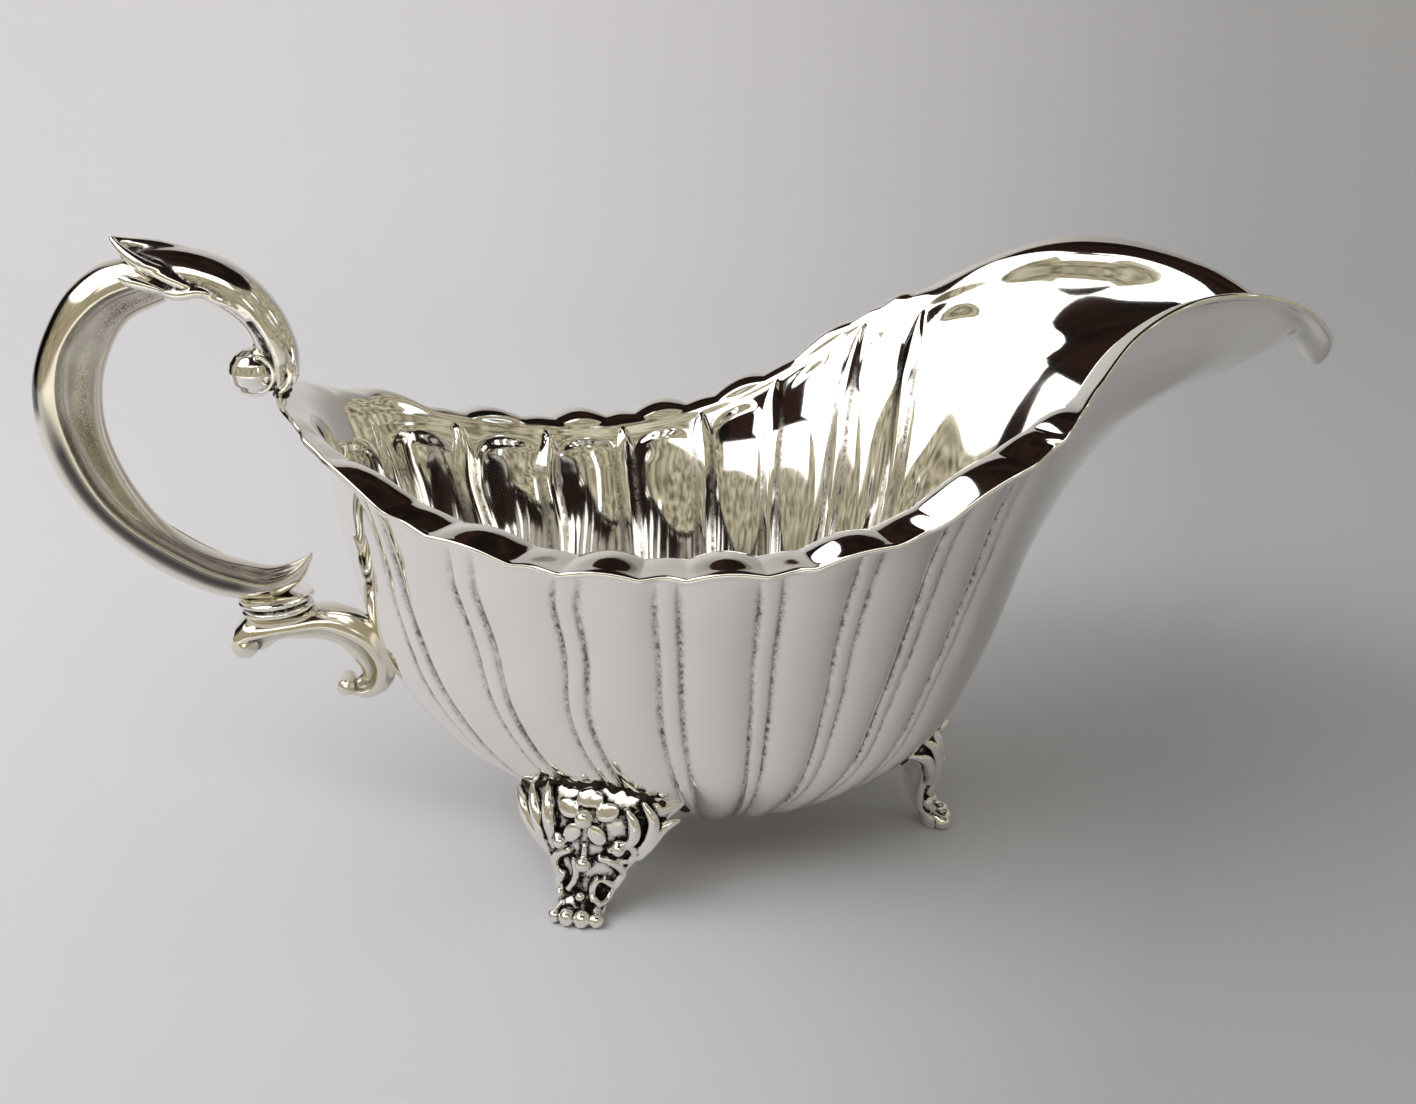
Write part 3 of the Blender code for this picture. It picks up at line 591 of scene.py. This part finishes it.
def melt(name, shapes, voxel, keep_out=None, depth=0.35, soften=3):
    """Joins closed shapes into one cast-looking skin, and marks how sunk each of its points lies, for
    tarnish and painted shade in its recesses.

    No point lies deeper than depth behind the skin of the keep_out tree.
    """
    verts = []
    faces = []
    for shape_verts, shape_faces in shapes:
        base = len(verts)
        verts += [Vector(point) * MM for point in shape_verts]
        faces += [tuple(base + i for i in face) for face in shape_faces]
    data = bpy.data.meshes.new(name + "_rough")
    data.from_pydata(verts, [], faces)
    mesh = bmesh.new()
    mesh.from_mesh(data)
    bmesh.ops.recalc_face_normals(mesh, faces=mesh.faces)
    mesh.to_mesh(data)
    mesh.free()
    rough = bpy.data.objects.new(name + "_rough", data)
    bpy.context.scene.collection.objects.link(rough)
    skin = rough.modifiers.new("skin", "REMESH")
    skin.mode = "VOXEL"
    skin.voxel_size = voxel * MM
    graph = bpy.context.evaluated_depsgraph_get()
    melted = bpy.data.meshes.new_from_object(rough.evaluated_get(graph))
    bpy.data.objects.remove(rough)
    melted.name = name
    points = np.empty(len(melted.vertices) * 3)
    melted.vertices.foreach_get("co", points)
    points = points.reshape(-1, 3) / MM
    edges = np.empty(len(melted.edges) * 2, int)
    melted.edges.foreach_get("vertices", edges)
    edges = edges.reshape(-1, 2)
    for _ in range(soften):
        points = relax(points, edges, 0.5)
    if keep_out:
        for i, point in enumerate(points):
            near, normal, _, _ = keep_out.find_nearest(Vector(point) * MM)
            if near and (Vector(point) * MM - near).dot(normal) < -depth * MM:
                points[i] = np.array(near - normal * depth * MM) / MM
    melted.vertices.foreach_set("co", (points * MM).astype(np.float32).reshape(-1))
    melted.update()
    normals = np.empty(len(points) * 3)
    melted.vertices.foreach_get("normal", normals)
    normals = normals.reshape(-1, 3)
    smooth = points
    sunk = np.zeros(len(points))
    for rounds, weight in SUNK_ROUNDS:
        for _ in range(rounds):
            smooth = relax(smooth, edges, 0.8)
        sunk += np.einsum("ij,ij->i", smooth - points, normals) * weight
    # The groove layer: tarnish and painted shade, stronger the more sunk a point lies.
    layer = melted.attributes.new("groove", "FLOAT", "POINT")
    layer.data.foreach_set("value", np.clip(sunk * 6.5 + 0.12, 0, 1.8).astype(np.float32))
    melted.shade_smooth()
    return melted


def relax(points, edges, share):
    """Moves each point part of the way to the middle of its neighbours."""
    total = np.zeros_like(points)
    count = np.zeros(len(points))
    for a, b in ((0, 1), (1, 0)):
        np.add.at(total, edges[:, a], points[edges[:, b]])
        np.add.at(count, edges[:, a], 1)
    return points + share * (total / np.maximum(count, 1)[:, None] - points)


def plane_tube(path, squash=(0.0, 1.0, 0.0)):
    """A tube from (x, y, z, radius) stations, smoothed."""
    rows = np.asarray(path, float)
    lengths = np.concatenate([[0.0], np.cumsum(np.linalg.norm(np.diff(rows[:, :3], axis=0), axis=1))])
    rows = spline(lengths, rows, np.linspace(0, lengths[-1], 6 * len(rows)))
    return tube_faces(rows[:, :3], np.maximum(rows[:, 3], 0.12), squash)


def lathe(profile, centre, tilt, sides=48):
    """A turned solid from (radius, height) pairs, its axis tilted in Y = 0."""
    rings = []
    for radius, height in profile:
        ring = []
        for turn in np.arange(sides) * math.tau / sides:
            x = radius * math.cos(turn)
            ring.append((
                centre[0] + x * math.cos(tilt) + height * math.sin(tilt),
                centre[1] + radius * math.sin(turn) * 0.98,
                centre[2] - x * math.sin(tilt) + height * math.cos(tilt),
            ))
        rings.append(ring)
    return ring_faces(rings)


# Tubes on the leaf, as (x, y, z, radius): the thumb tip, its edge, and the frills down each side.
THUMB = ((-84.5, 0.0, 109.4, 1.6), (-88.5, 0.0, 110.6, 1.5), (-91.8, 0.0, 111.3, 1.2),
         (-94.4, 0.0, 112.0, 0.7), (-95.8, 0.0, 112.7, 0.3))
THUMB_EDGE = ((-86.5, 4.4, 107.0, 1.1), (-89.5, 4.5, 108.2, 1.2), (-92.2, 3.4, 109.6, 1.1),
              (-94.6, 1.6, 111.4, 0.7), (-95.9, 0.2, 112.6, 0.35))
FRILLS = (
    ((-94.4, 4.6, 106.8, 0.5), (-92.6, 5.2, 106.2, 1.0), (-90.0, 5.4, 105.4, 0.9), (-87.6, 5.5, 104.6, 0.5)),
    ((-90.8, 4.2, 108.6, 0.5), (-88.4, 4.9, 107.4, 0.9), (-86.0, 5.2, 106.2, 0.9), (-83.4, 5.4, 105.0, 0.6)),
    ((-88.4, 4.9, 104.6, 0.5), (-85.4, 5.3, 103.9, 1.0), (-82.2, 5.3, 104.2, 0.9), (-79.4, 5.2, 103.6, 0.4)),
    ((-82.0, 5.1, 104.0, 0.5), (-79.4, 5.0, 102.9, 0.8), (-76.8, 4.8, 101.6, 0.6), (-74.6, 4.6, 99.4, 0.4)),
)
VOLUTE_RIBS = (-3.2, -1.6, 0.0, 1.6, 3.2)
BALL_CENTRE = (-75.0, 0.0, 89.9)
BALL_RADIUS = 4.3
BALL_STALK = ((-72.6, 0.0, 90.6, 3.0), (-71.6, 0.0, 89.0, 2.8), (-71.0, 0.0, 87.8, 2.2))
BRACKET_TOP = ((-81.6, 45.2), (-79.2, 47.4), (-74.6, 47.7), (-70.8, 48.0), (-66.2, 48.6), (-60.6, 47.0),
               (-55.4, 42.6), (-54.0, 36.6), (-56.2, 32.2), (-60.2, 30.8), (-63.6, 32.4))
BRACKET_SIDE = ((-81.6, 43.2), (-78.4, 44.2), (-74.6, 44.9), (-70.8, 45.2), (-66.6, 45.4), (-62.2, 43.6),
                (-58.8, 40.6), (-57.4, 36.8), (-58.2, 33.8), (-60.6, 32.5), (-63.4, 33.4))
BRACKET_LOW = ((-81.2, 41.0), (-77.0, 40.6), (-74.2, 42.4), (-70.9, 42.4), (-67.2, 42.2), (-63.9, 40.6),
               (-62.0, 38.4), (-60.8, 36.8), (-60.4, 35.4), (-61.2, 34.6), (-63.2, 34.4))
BRACKET_WIDTHS = (4.2, 5.2, 5.0, 4.8, 4.6, 4.4, 4.2, 4.0, 3.5, 2.9, 2.2)
# Rolls at the bracket's two ends: x, z, radius and places across.
BRACKET_ROLLS = ((-79.8, 42.6, 2.4, (-3.6, -1.2, 1.2, 3.6)), (-63.2, 33.6, 1.6, (-2.6, -0.9, 0.9, 2.6)))
COLLAR = ((0.6, 1.7), (5.2, 1.7), (6.3, 1.45), (6.7, 0.95), (6.3, 0.45), (5.5, 0.2), (5.4, 0.0),
          (5.7, -0.2), (6.2, -0.45), (6.4, -0.9), (6.0, -1.3), (5.2, -1.55), (0.6, -1.55))
COLLAR_CENTRE = (-74.2, 0.0, 49.3)
COLLAR_TILT = math.radians(-5.0)


def make_handle(metal, hollow_metal):
    """The stem, the leaf cap, the ball in its volute, the rings and the lower scroll."""
    add_piece(stem_mesh(), hollow_metal, "handle_stem")
    leaf = sweep_rings(LEAF_OUTER, LEAF_EDGE, LEAF_INNER, LEAF_WIDTHS, 60, CAST_STEPS)
    shapes = [ring_faces(leaf), plane_tube(THUMB)]
    for side in (-1.0, 1.0):
        for path in (THUMB_EDGE, *FRILLS):
            shapes.append(plane_tube([(x, y * side, z, r) for x, y, z, r in path]))
    for y in VOLUTE_RIBS:
        belly = (0.9 + 0.15 * (VOLUTE_RIBS[-1] - abs(y))) * 0.75
        shapes.append(plane_tube([(-69.2 - 0.2 * abs(y), y, 92.6, 0.3), (-68.6, y, 90.6, 0.75),
                                  (-69.0, y, 88.6, belly), (-70.8, y * 0.9, 86.9, 0.5)]))
    add_piece(melt("handle_leaf", shapes, 0.24), metal, "handle_leaf_cap")
    ball = [blob_faces(np.array(BALL_CENTRE), np.eye(3), (BALL_RADIUS,) * 3, 32), plane_tube(BALL_STALK)]
    for y in (-2.9, 2.9):
        ring = []
        for turn in np.radians(range(-80, 100, 20)):
            ring.append((-74.6 + 3.1 * math.cos(turn), y, 90.0 + 3.1 * math.sin(turn), 0.42))
        ball.append(plane_tube(ring))
    add_piece(melt("handle_volute_ball", ball, 0.2), metal, "handle_ball")
    collar = lathe(COLLAR, COLLAR_CENTRE, COLLAR_TILT)
    add_piece(melt("handle_rings", [collar], 0.16, soften=1), metal, "handle_collar")
    rings = sweep_rings(BRACKET_TOP, BRACKET_SIDE, BRACKET_LOW, BRACKET_WIDTHS, 80, CAST_STEPS)
    bracket = [ring_faces(rings)]
    for x, z, radius, places in BRACKET_ROLLS:
        bracket.append(plane_tube([(x, y, z, radius) for y in places], (0.0, 0.0, 1.0)))
    bracket = melt("handle_bracket_scroll", bracket, 0.22, skin_tree)
    add_piece(bracket, hollow_metal, "handle_bracket")


# ---------------------------------------------------------------- feet
# Each level of a foot: z, centre behind the toe, half depth, half width, how far its wings sweep back.
FOOT_LEVELS = (
    (0.0, -3.4, 1.8, 3.6, 0.6), (1.6, -3.4, 2.3, 4.4, 0.9), (3.2, -4.4, 1.9, 4.4, 0.9),
    (4.6, -5.6, 1.7, 4.6, 0.8), (7.4, -6.2, 1.7, 5.8, 1.0), (11.0, -5.9, 2.0, 7.6, 1.4),
    (14.8, -5.6, 2.2, 10.0, 2.2), (18.2, -6.0, 2.3, 13.0, 3.8), (20.6, -7.0, 2.5, 15.2, 5.2),
    (22.6, -8.4, 2.7, 14.6, 5.4), (24.6, -10.2, 3.0, 11.0, 4.0),
)
FOOT_TOP = 24.6
# Toe position, the direction it points in, in degrees from +X, and how far the top leans sideways.
FEET = {
    "foot_left": (-26.0, 32.4, 112.0, -2.4),
    "foot_right": (-26.0, -32.4, -112.0, 2.4),
    "foot_spout": (47.0, 0.0, 0.0, 0.0),
}
# Ornament on the front, each first as (sideways, height). A petal adds its half sizes and its tilt in
# degrees, a knob its radius and lift, and a line is a row of points with their radii.
PETALS = (
    (0.0, 22.2, 2.5, 1.9, 0.5, 0), (3.3, 20.3, 1.7, 2.2, 0.5, -72), (-3.3, 20.3, 1.7, 2.2, 0.5, 72),
    (2.1, 16.6, 1.5, 2.1, 0.5, -144), (-2.1, 16.6, 1.5, 2.1, 0.5, 144),
)
KNOBS = (
    (0.0, 19.2, 1.6, 2.1), (0.3, 11.3, 1.4, 1.35), (-4.0, 14.6, 1.2, 0.9), (5.6, 14.2, 1.2, 0.9),
    (-3.4, 4.0, 0.8, 0.6), (0.2, 4.2, 0.9, 0.7), (2.4, 4.0, 0.8, 0.6),
)
LINES = (
    ((-2.2, 13.2, 0.5), (-3.9, 12.4, 0.75), (-4.9, 10.6, 0.8), (-4.6, 8.6, 0.8), (-3.2, 7.6, 0.6)),
    ((-1.7, 11.2, 0.45), (-1.1, 9.2, 0.6), (-1.3, 7.0, 0.65), (-2.2, 5.0, 0.6)),
    ((2.6, 12.2, 0.5), (4.6, 11.6, 0.75), (6.0, 9.8, 0.8), (6.0, 7.6, 0.8), (5.2, 5.6, 0.7)),
    ((-3.4, 7.8, 0.6), (-4.0, 6.2, 0.9), (-3.6, 4.6, 0.8)),
    ((2.4, 7.6, 0.6), (1.8, 6.0, 0.65), (2.2, 4.2, 0.6), (3.6, 3.4, 0.55), (4.8, 4.4, 0.55),
     (4.6, 6.4, 0.6), (3.4, 7.6, 0.6)),
    ((0.1, 14.4, 0.3), (0.15, 13.4, 0.45), (0.2, 12.4, 0.6)),
    ((-11.2, 21.6, 0.5), (-9.6, 19.4, 1.1), (-8.0, 16.4, 1.2), (-6.6, 13.0, 0.9), (-5.6, 10.4, 0.5)),
    ((-8.0, 22.9, 0.5), (-7.0, 20.4, 1.1), (-6.2, 17.6, 1.2), (-5.6, 14.8, 0.8), (-5.4, 12.6, 0.4)),
    ((-14.8, 20.2, 0.35), (-12.4, 18.8, 1.0), (-10.2, 15.6, 1.1), (-8.0, 12.0, 0.7)),
    ((6.4, 20.6, 0.5), (7.6, 18.8, 1.0), (7.8, 16.4, 1.1), (6.9, 14.4, 0.7)),
    ((8.6, 21.6, 0.5), (10.4, 18.6, 1.1), (9.6, 15.0, 1.1), (8.0, 12.2, 0.8), (6.6, 9.4, 0.5)),
    ((14.9, 18.2, 0.35), (12.6, 17.0, 1.0), (10.8, 14.4, 1.0), (8.8, 11.6, 0.7)),
    ((4.2, 13.6, 0.45), (5.6, 15.0, 0.7), (7.2, 14.6, 0.7), (7.8, 12.8, 0.7), (6.8, 11.4, 0.6),
     (5.4, 11.8, 0.45)),
    ((-3.0, 13.9, 0.4), (-4.2, 15.4, 0.7), (-5.8, 15.0, 0.7), (-6.2, 13.2, 0.6), (-5.2, 12.2, 0.45)),
)
# Toes, as (sideways, radius).
TOES = ((-3.7, 1.35), (-1.3, 1.6), (1.3, 1.6), (3.7, 1.35))


class Foot:
    """Places points on a foot: a outwards from the toe, b sideways, z up, in mm."""

    def __init__(self, toe_x, toe_y, heading, lean):
        turn = math.radians(heading)
        self.ahead = np.array((math.cos(turn), math.sin(turn), 0.0))
        self.beside = np.array((-math.sin(turn), math.cos(turn), 0.0))
        self.toe = np.array((toe_x, toe_y, 0.0))
        self.lean = lean
        self.flip = -1.0 if lean < 0 else 1.0
        self.levels = np.array(FOOT_LEVELS)

    def level(self, z):
        """The measures of FOOT_LEVELS at height z."""
        return spline(self.levels[:, 0], self.levels[:, 1:], np.array([z]))[0]

    def world(self, a, b, z):
        """The point in the model's frame."""
        b = b + self.lean * z / 24.5
        return self.toe + self.ahead * a + self.beside * b + np.array((0.0, 0.0, z))

    def front(self, b, z):
        """The point of the front face at b and z."""
        centre, half_depth, half_width, sweep = self.level(z)
        across = min(abs(b) / half_width, 0.97)
        a = centre + half_depth * math.sqrt(1 - across**2) - sweep * across**2
        return self.world(a, b, z)

    def raised(self, b, z, lift):
        """A point above the front face, with the face's own axes there."""
        b = b * self.flip
        here = self.front(b, z)
        beside = self.front(b + 0.4, z) - self.front(b - 0.4, z)
        up = self.front(b, z + 0.4) - self.front(b, z - 0.4)
        beside /= np.linalg.norm(beside)
        out = np.cross(beside, up)
        out /= np.linalg.norm(out)
        out *= np.sign(out.dot(self.ahead)) or 1.0
        return here + out * lift, beside, np.cross(out, beside), out


def make_foot(name, place, metal):
    """One cast foot: a body, with petals, knobs, raised lines and toes melted into it."""
    foot = Foot(*place)
    rings = []
    for z in np.linspace(0.0, FOOT_TOP, 40):
        centre, half_depth, half_width, sweep = foot.level(z)
        ring = []
        for turn in np.arange(40) * math.tau / 40:
            across = math.sin(turn)
            forward = centre + half_depth * math.cos(turn) - sweep * across**2
            ring.append(foot.world(forward, half_width * across, z))
        rings.append(ring)
    shapes = [ring_faces(rings)]
    for b, z, wide, high, rise, tilt in PETALS:
        centre, beside, up, out = foot.raised(b, z, 0.5)
        turn = math.radians(tilt) * foot.flip
        first = beside * math.cos(turn) + up * math.sin(turn)
        second = up * math.cos(turn) - beside * math.sin(turn)
        shapes.append(blob_faces(centre, (first, second, out), (wide, high, rise)))
    for b, z, radius, lift in KNOBS:
        centre, beside, up, out = foot.raised(b, z, lift * 0.9)
        shapes.append(blob_faces(centre, (beside, up, out), (radius, radius, radius)))
    for line in LINES:
        rows = curve_through(line, 5 * len(line))
        points = [foot.raised(b, z, r * 0.75)[0] for b, z, r in rows]
        shapes.append(tube_faces(points, rows[:, 2]))
    for b, radius in TOES:
        a = -1.35 - 0.045 * b * b
        axes = (foot.ahead, foot.beside, (0, 0, 1))
        sizes = (radius * 1.15, radius * 0.95, radius)
        shapes.append(blob_faces(foot.world(a, b, radius * 0.98), axes, sizes))
        knuckle = [foot.world(a - 1.0, b * 0.9, 2.0), foot.world(a - 2.4, b * 0.75, 3.0)]
        shapes.append(tube_faces(knuckle, (1.0, 0.8)))
    cast = melt(name + "_cast", shapes, 0.22, skin_tree)
    add_piece(cast, metal, name)


# A foot's seam on the bowl: (sideways, height).
SEAM_LINE = ((-15.2, -8.0, 0.0, 8.0, 15.2), (19.4, 23.4, 24.7, 23.2, 18.0))


def make_seams(solder):
    """Dark, uneven solder where each foot meets the bowl, and the same metal on the two CAD pads."""
    for name, place in FEET.items():
        foot = Foot(*place)
        points = []
        radii = []
        for b in np.linspace(SEAM_LINE[0][0], SEAM_LINE[0][-1], 48):
            start = Vector(foot.world(12.0, b * foot.flip, np.interp(b, *SEAM_LINE))) * MM
            hit, _, _, _ = skin_tree.ray_cast(start, Vector(-foot.ahead))
            if hit:
                points.append(np.array(hit) / MM)
                radii.append(0.55 + 0.28 * math.sin(b * 2.3) + 0.18 * math.sin(b * 5.1 + 1.0))
        seam = melt("seam_" + name, [tube_faces(points, radii)], 0.2, skin_tree, 0.3)
        add_piece(seam, solder, "solder_" + name)
    for node in ("solder_bracket", "solder_leaf_cap"):
        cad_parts[node].data.materials.clear()
        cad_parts[node].data.materials.append(solder)


# ---------------------------------------------------------------- stage, light and camera
# The paper: where its floor ends, the radius of its turn and its sides in x. Painted light and shade
# on it change with y + 0.5: a pale warm band near the front, darker behind it, lighter towards the
# backdrop. A factor paints shade on it to the right, in a fan whose centre is on the floor below the camera.
FLOOR_END = 0.48
SWEEP_RADIUS = 0.42
PAPER_SIDES = (-0.75, 0.78)
PAPER_PAINTED_LIGHT = ((0.26, (0.88, 0.85, 0.76)), (0.36, (0.48, 0.48, 0.5)), (0.45, (0.54, 0.54, 0.565)),
              (0.62, (0.61, 0.61, 0.635)), (0.98, (0.735, 0.735, 0.775)))
FAN_CENTRE = (-0.036, -0.301)
FAN_SHADE = ((0.05, 1.0), (0.5, 0.98), (0.66, 0.9), (0.92, 0.68))


def paper_material():
    """Matt paper with painted light and shade, fixed to it."""
    material = bpy.data.materials.new("sweep_paper")
    material.use_nodes = True
    tree = material.node_tree
    shader = tree.nodes["Principled BSDF"]
    shader.inputs["Specular IOR Level"].default_value = 0.1
    place = add_node(tree, "ShaderNodeTexCoord").outputs["Object"]
    split = add_node(tree, "ShaderNodeSeparateXYZ")
    tree.links.new(place, split.inputs[0])
    # Painted light along y, times painted shade to the right in a fan.
    painted_light = ramp(tree, math_node(tree, "ADD", split.outputs[1], 0.5), PAPER_PAINTED_LIGHT)
    away = math_node(tree, "MAXIMUM", math_node(tree, "ADD", split.outputs[1], -FAN_CENTRE[1]), 0.15)
    across = math_node(tree, "DIVIDE", math_node(tree, "ADD", split.outputs[0], -FAN_CENTRE[0]), away)
    shade = ramp(tree, math_node(tree, "ADD", across, 0.5), FAN_SHADE)
    painted_light_and_shade = add_node(tree, "ShaderNodeMix", data_type="RGBA", blend_type="MULTIPLY")
    painted_light_and_shade.inputs[0].default_value = 1.0
    tree.links.new(painted_light, painted_light_and_shade.inputs[6])
    tree.links.new(shade, painted_light_and_shade.inputs[7])
    fibre = ramp(tree, noise(tree, place, 3.0, 3.0), ((0.3, 0.9), (0.7, 0.93)))
    tree.links.new(fibre, shader.inputs["Roughness"])
    tree.links.new(painted_light_and_shade.outputs[2], shader.inputs["Base Color"])
    return material


def make_stage():
    """A pale paper sweep: a floor that turns up into a backdrop."""
    profile = [(-0.75, 0.0), (-0.3, 0.0), (0.15, 0.0), (FLOOR_END, 0.0)]
    for turn in np.radians(np.arange(6, 91, 6)):
        out, up = math.sin(turn), math.cos(turn)
        profile.append((FLOOR_END + SWEEP_RADIUS * out, SWEEP_RADIUS - SWEEP_RADIUS * up))
    profile += [(FLOOR_END + SWEEP_RADIUS, 0.9), (FLOOR_END + SWEEP_RADIUS, 1.6)]
    verts = [(x, y, z) for x in PAPER_SIDES for y, z in profile]
    count = len(profile)
    faces = [(i, i + count, i + count + 1, i + 1) for i in range(count - 1)]
    data = bpy.data.meshes.new("studio_sweep")
    data.from_pydata(verts, [], faces)
    data.shade_smooth()
    paper = bpy.data.objects.new("studio_sweep", data)
    bpy.context.scene.collection.objects.link(paper)
    data.materials.append(paper_material())


def direction(azimuth, elevation):
    """A unit vector: azimuth in degrees from +Y towards +X, elevation above the floor."""
    a = math.radians(azimuth)
    e = math.radians(elevation)
    return Vector((math.sin(a) * math.cos(e), math.cos(a) * math.cos(e), math.sin(e)))


# Lamps: azimuth, elevation, (degrees across, degrees high), distance, radiance and colour.
WINDOWS = {
    "window_left": (263.0, 47.0, (58.0, 36.0), 0.8, 1.8),
    "window_behind_camera": (187.0, 42.0, (50.0, 16.0), 1.1, 1.6, (1.0, 0.98, 0.96)),
}
# These light the paper, and aren't seen in the silver.
SOFT_LAMPS = {
    "soft_left": (244.0, 42.0, (54.0, 32.0), 0.95, 3.0),
    "soft_behind_camera": (205.0, 50.0, (50.0, 20.0), 1.2, 1.7, (1.0, 0.98, 0.96)),
    "soft_fill": (70.0, 72.0, (70.0, 50.0), 1.4, 0.65),
}
FAR_PANES = {
    "far_pane_a": (91.0, 24.0, (4.0, 8.0), 1.5, 2.5, (0.72, 0.88, 1.0)),
    "far_pane_b": (116.0, 20.0, (3.0, 6.0), 1.5, 2.0, (0.72, 0.88, 1.0)),
    "far_pane_c": (156.0, 16.0, (3.0, 9.0), 1.5, 2.5, (0.85, 0.94, 1.0)),
    "far_pane_d": (103.0, 40.0, (5.0, 5.0), 1.5, 1.6, (0.72, 0.88, 1.0)),
}


def add_window(name, azimuth, elevation, spread, distance, radiance, colour=(1.0, 1.0, 1.0)):
    """An area light that fills spread = (degrees across, degrees high) of what the object sees."""
    lamp = bpy.data.lights.new(name, "AREA")
    lamp.shape = "RECTANGLE"
    lamp.size, lamp.size_y = (2 * distance * math.tan(math.radians(angle / 2)) for angle in spread)
    lamp.energy = radiance * math.pi * lamp.size * lamp.size_y
    lamp.color = colour
    light = bpy.data.objects.new(name, lamp)
    light.location = direction(azimuth, elevation) * distance + AIM
    light.rotation_euler = (AIM - light.location).to_track_quat("-Z", "Y").to_euler()
    light.visible_camera = False
    bpy.context.scene.collection.objects.link(light)
    return light


def band(tree, value, low, high, soft):
    """1 where value lies between low and high, falling to 0 over soft on both sides."""
    rise = add_node(tree, "ShaderNodeMapRange", interpolation_type="SMOOTHSTEP")
    fall = add_node(tree, "ShaderNodeMapRange", interpolation_type="SMOOTHSTEP")
    for node, edges, ends in ((rise, (low - soft, low), (0.0, 1.0)), (fall, (high, high + soft), (1.0, 0.0))):
        tree.links.new(value, node.inputs[0])
        node.inputs[1].default_value, node.inputs[2].default_value = edges
        node.inputs[3].default_value, node.inputs[4].default_value = ends
    return math_node(tree, "MULTIPLY", rise.outputs[0], fall.outputs[0])


# The room that the silver reflects: the pale wall's reach in degrees, its streaks and the dark rest.
WALL_AZIMUTHS = (45.0, 282.0)
WALL_ELEVATIONS = (-30.0, 40.0)
WALL_COLOURS = ((0.36, (0.05, 0.042, 0.03)), (0.46, (0.27, 0.235, 0.16)), (0.53, (0.46, 0.41, 0.29)),
                (0.66, (0.75, 0.71, 0.56)))
DARK_COLOURS = ((0.4, (0.006, 0.005, 0.005)), (0.62, (0.028, 0.014, 0.01)))
PLAIN_GREY = (0.5, 0.5, 0.52)


def make_world():
    """A dark room with a pale, streaky wall low down round three sides, for the silver to reflect.

    Seen directly, past the edge of the paper, the room is a plain grey.
    """
    world = bpy.data.worlds.new("room")
    bpy.context.scene.world = world
    world.use_nodes = True
    tree = world.node_tree
    background = tree.nodes["Background"]
    view = add_node(tree, "ShaderNodeTexCoord").outputs["Generated"]
    split = add_node(tree, "ShaderNodeSeparateXYZ")
    tree.links.new(view, split.inputs[0])
    x, y, z = split.outputs
    turn = math_node(tree, "ARCTAN2", x, y)
    turn = math_node(tree, "MULTIPLY", turn, 180 / math.pi)
    turn = math_node(tree, "FLOORED_MODULO", turn, 360.0)
    height = math_node(tree, "MULTIPLY", math_node(tree, "ARCSINE", z, 0.0), 180 / math.pi)
    beside = band(tree, turn, *WALL_AZIMUTHS, 12.0)
    wall = math_node(tree, "MULTIPLY", beside, band(tree, height, *WALL_ELEVATIONS, 3.0))
    place = add_node(tree, "ShaderNodeCombineXYZ")
    tree.links.new(math_node(tree, "MULTIPLY", turn, 0.05), place.inputs[0])
    tree.links.new(math_node(tree, "MULTIPLY", height, 0.16), place.inputs[1])
    streaks = noise(tree, place.outputs[0], 3.4, 5.0, 0.6, 0.5)
    room = ramp(tree, noise(tree, view, 2.4, 4.0), DARK_COLOURS)
    room = mix_colour(tree, wall, room, ramp(tree, streaks, WALL_COLOURS))
    direct = add_node(tree, "ShaderNodeLightPath").outputs["Is Camera Ray"]
    tree.links.new(mix_colour(tree, direct, room, PLAIN_GREY), background.inputs[0])
    background.inputs[1].default_value = 1.0


def make_camera():
    """The camera, from its right and up directions and its place in metres."""
    lens = bpy.data.cameras.new("camera")
    lens.sensor_width = 36.0
    lens.lens = 45.76
    lens.clip_start = 0.01
    camera = bpy.data.objects.new("camera", lens)
    right = Vector((0.99255, -0.12187, 0.0))
    up = Vector((0.03806, 0.31001, 0.94998))
    back = right.cross(up)
    camera.matrix_world = Matrix((
        (right.x, up.x, back.x, -0.0358),
        (right.y, up.y, back.y, -0.301),
        (right.z, up.z, back.z, 0.155),
        (0.0, 0.0, 0.0, 1.0),
    ))
    bpy.context.scene.collection.objects.link(camera)
    bpy.context.scene.camera = camera


# Each metal: where its tarnish and painted shade are full, polish, its clean colour, the colour of its
# tarnish and painted shade, and their grain.
CLEAN = (0.93, 0.912, 0.87)
METALS = {
    "bowl_silver": (0.9, 0.05, CLEAN, (0.16, 0.13, 0.11), 900.0),
    "handle_silver": (0.5, 0.07, CLEAN, (0.03, 0.024, 0.018), 500.0),
    "handle_hollow_silver": (1.25, 0.1, (0.84, 0.8, 0.7), (0.09, 0.07, 0.05), 5000.0),
    "foot_silver": (0.38, 0.1, CLEAN, (0.012, 0.01, 0.009), 700.0),
    "seam_solder": (0.5, 0.4, (0.045, 0.038, 0.032), (0.012, 0.01, 0.009), 600.0),
}


def main():
    make_camera()
    make_world()
    make_stage()
    metal = {name: silver(name, *look) for name, look in METALS.items()}
    add_piece(bowl_data, metal["bowl_silver"], "bowl")
    make_handle(metal["handle_silver"], metal["handle_hollow_silver"])
    for name, place in FEET.items():
        make_foot(name, place, metal["foot_silver"])
    make_seams(metal["seam_solder"])
    for name, lamp in {**WINDOWS, **SOFT_LAMPS, **FAR_PANES}.items():
        light = add_window(name, *lamp)
        light.visible_glossy = name not in SOFT_LAMPS
    bpy.context.scene.view_settings.view_transform = "Standard"


bowl_data, skin_tree = make_bowl()
main()
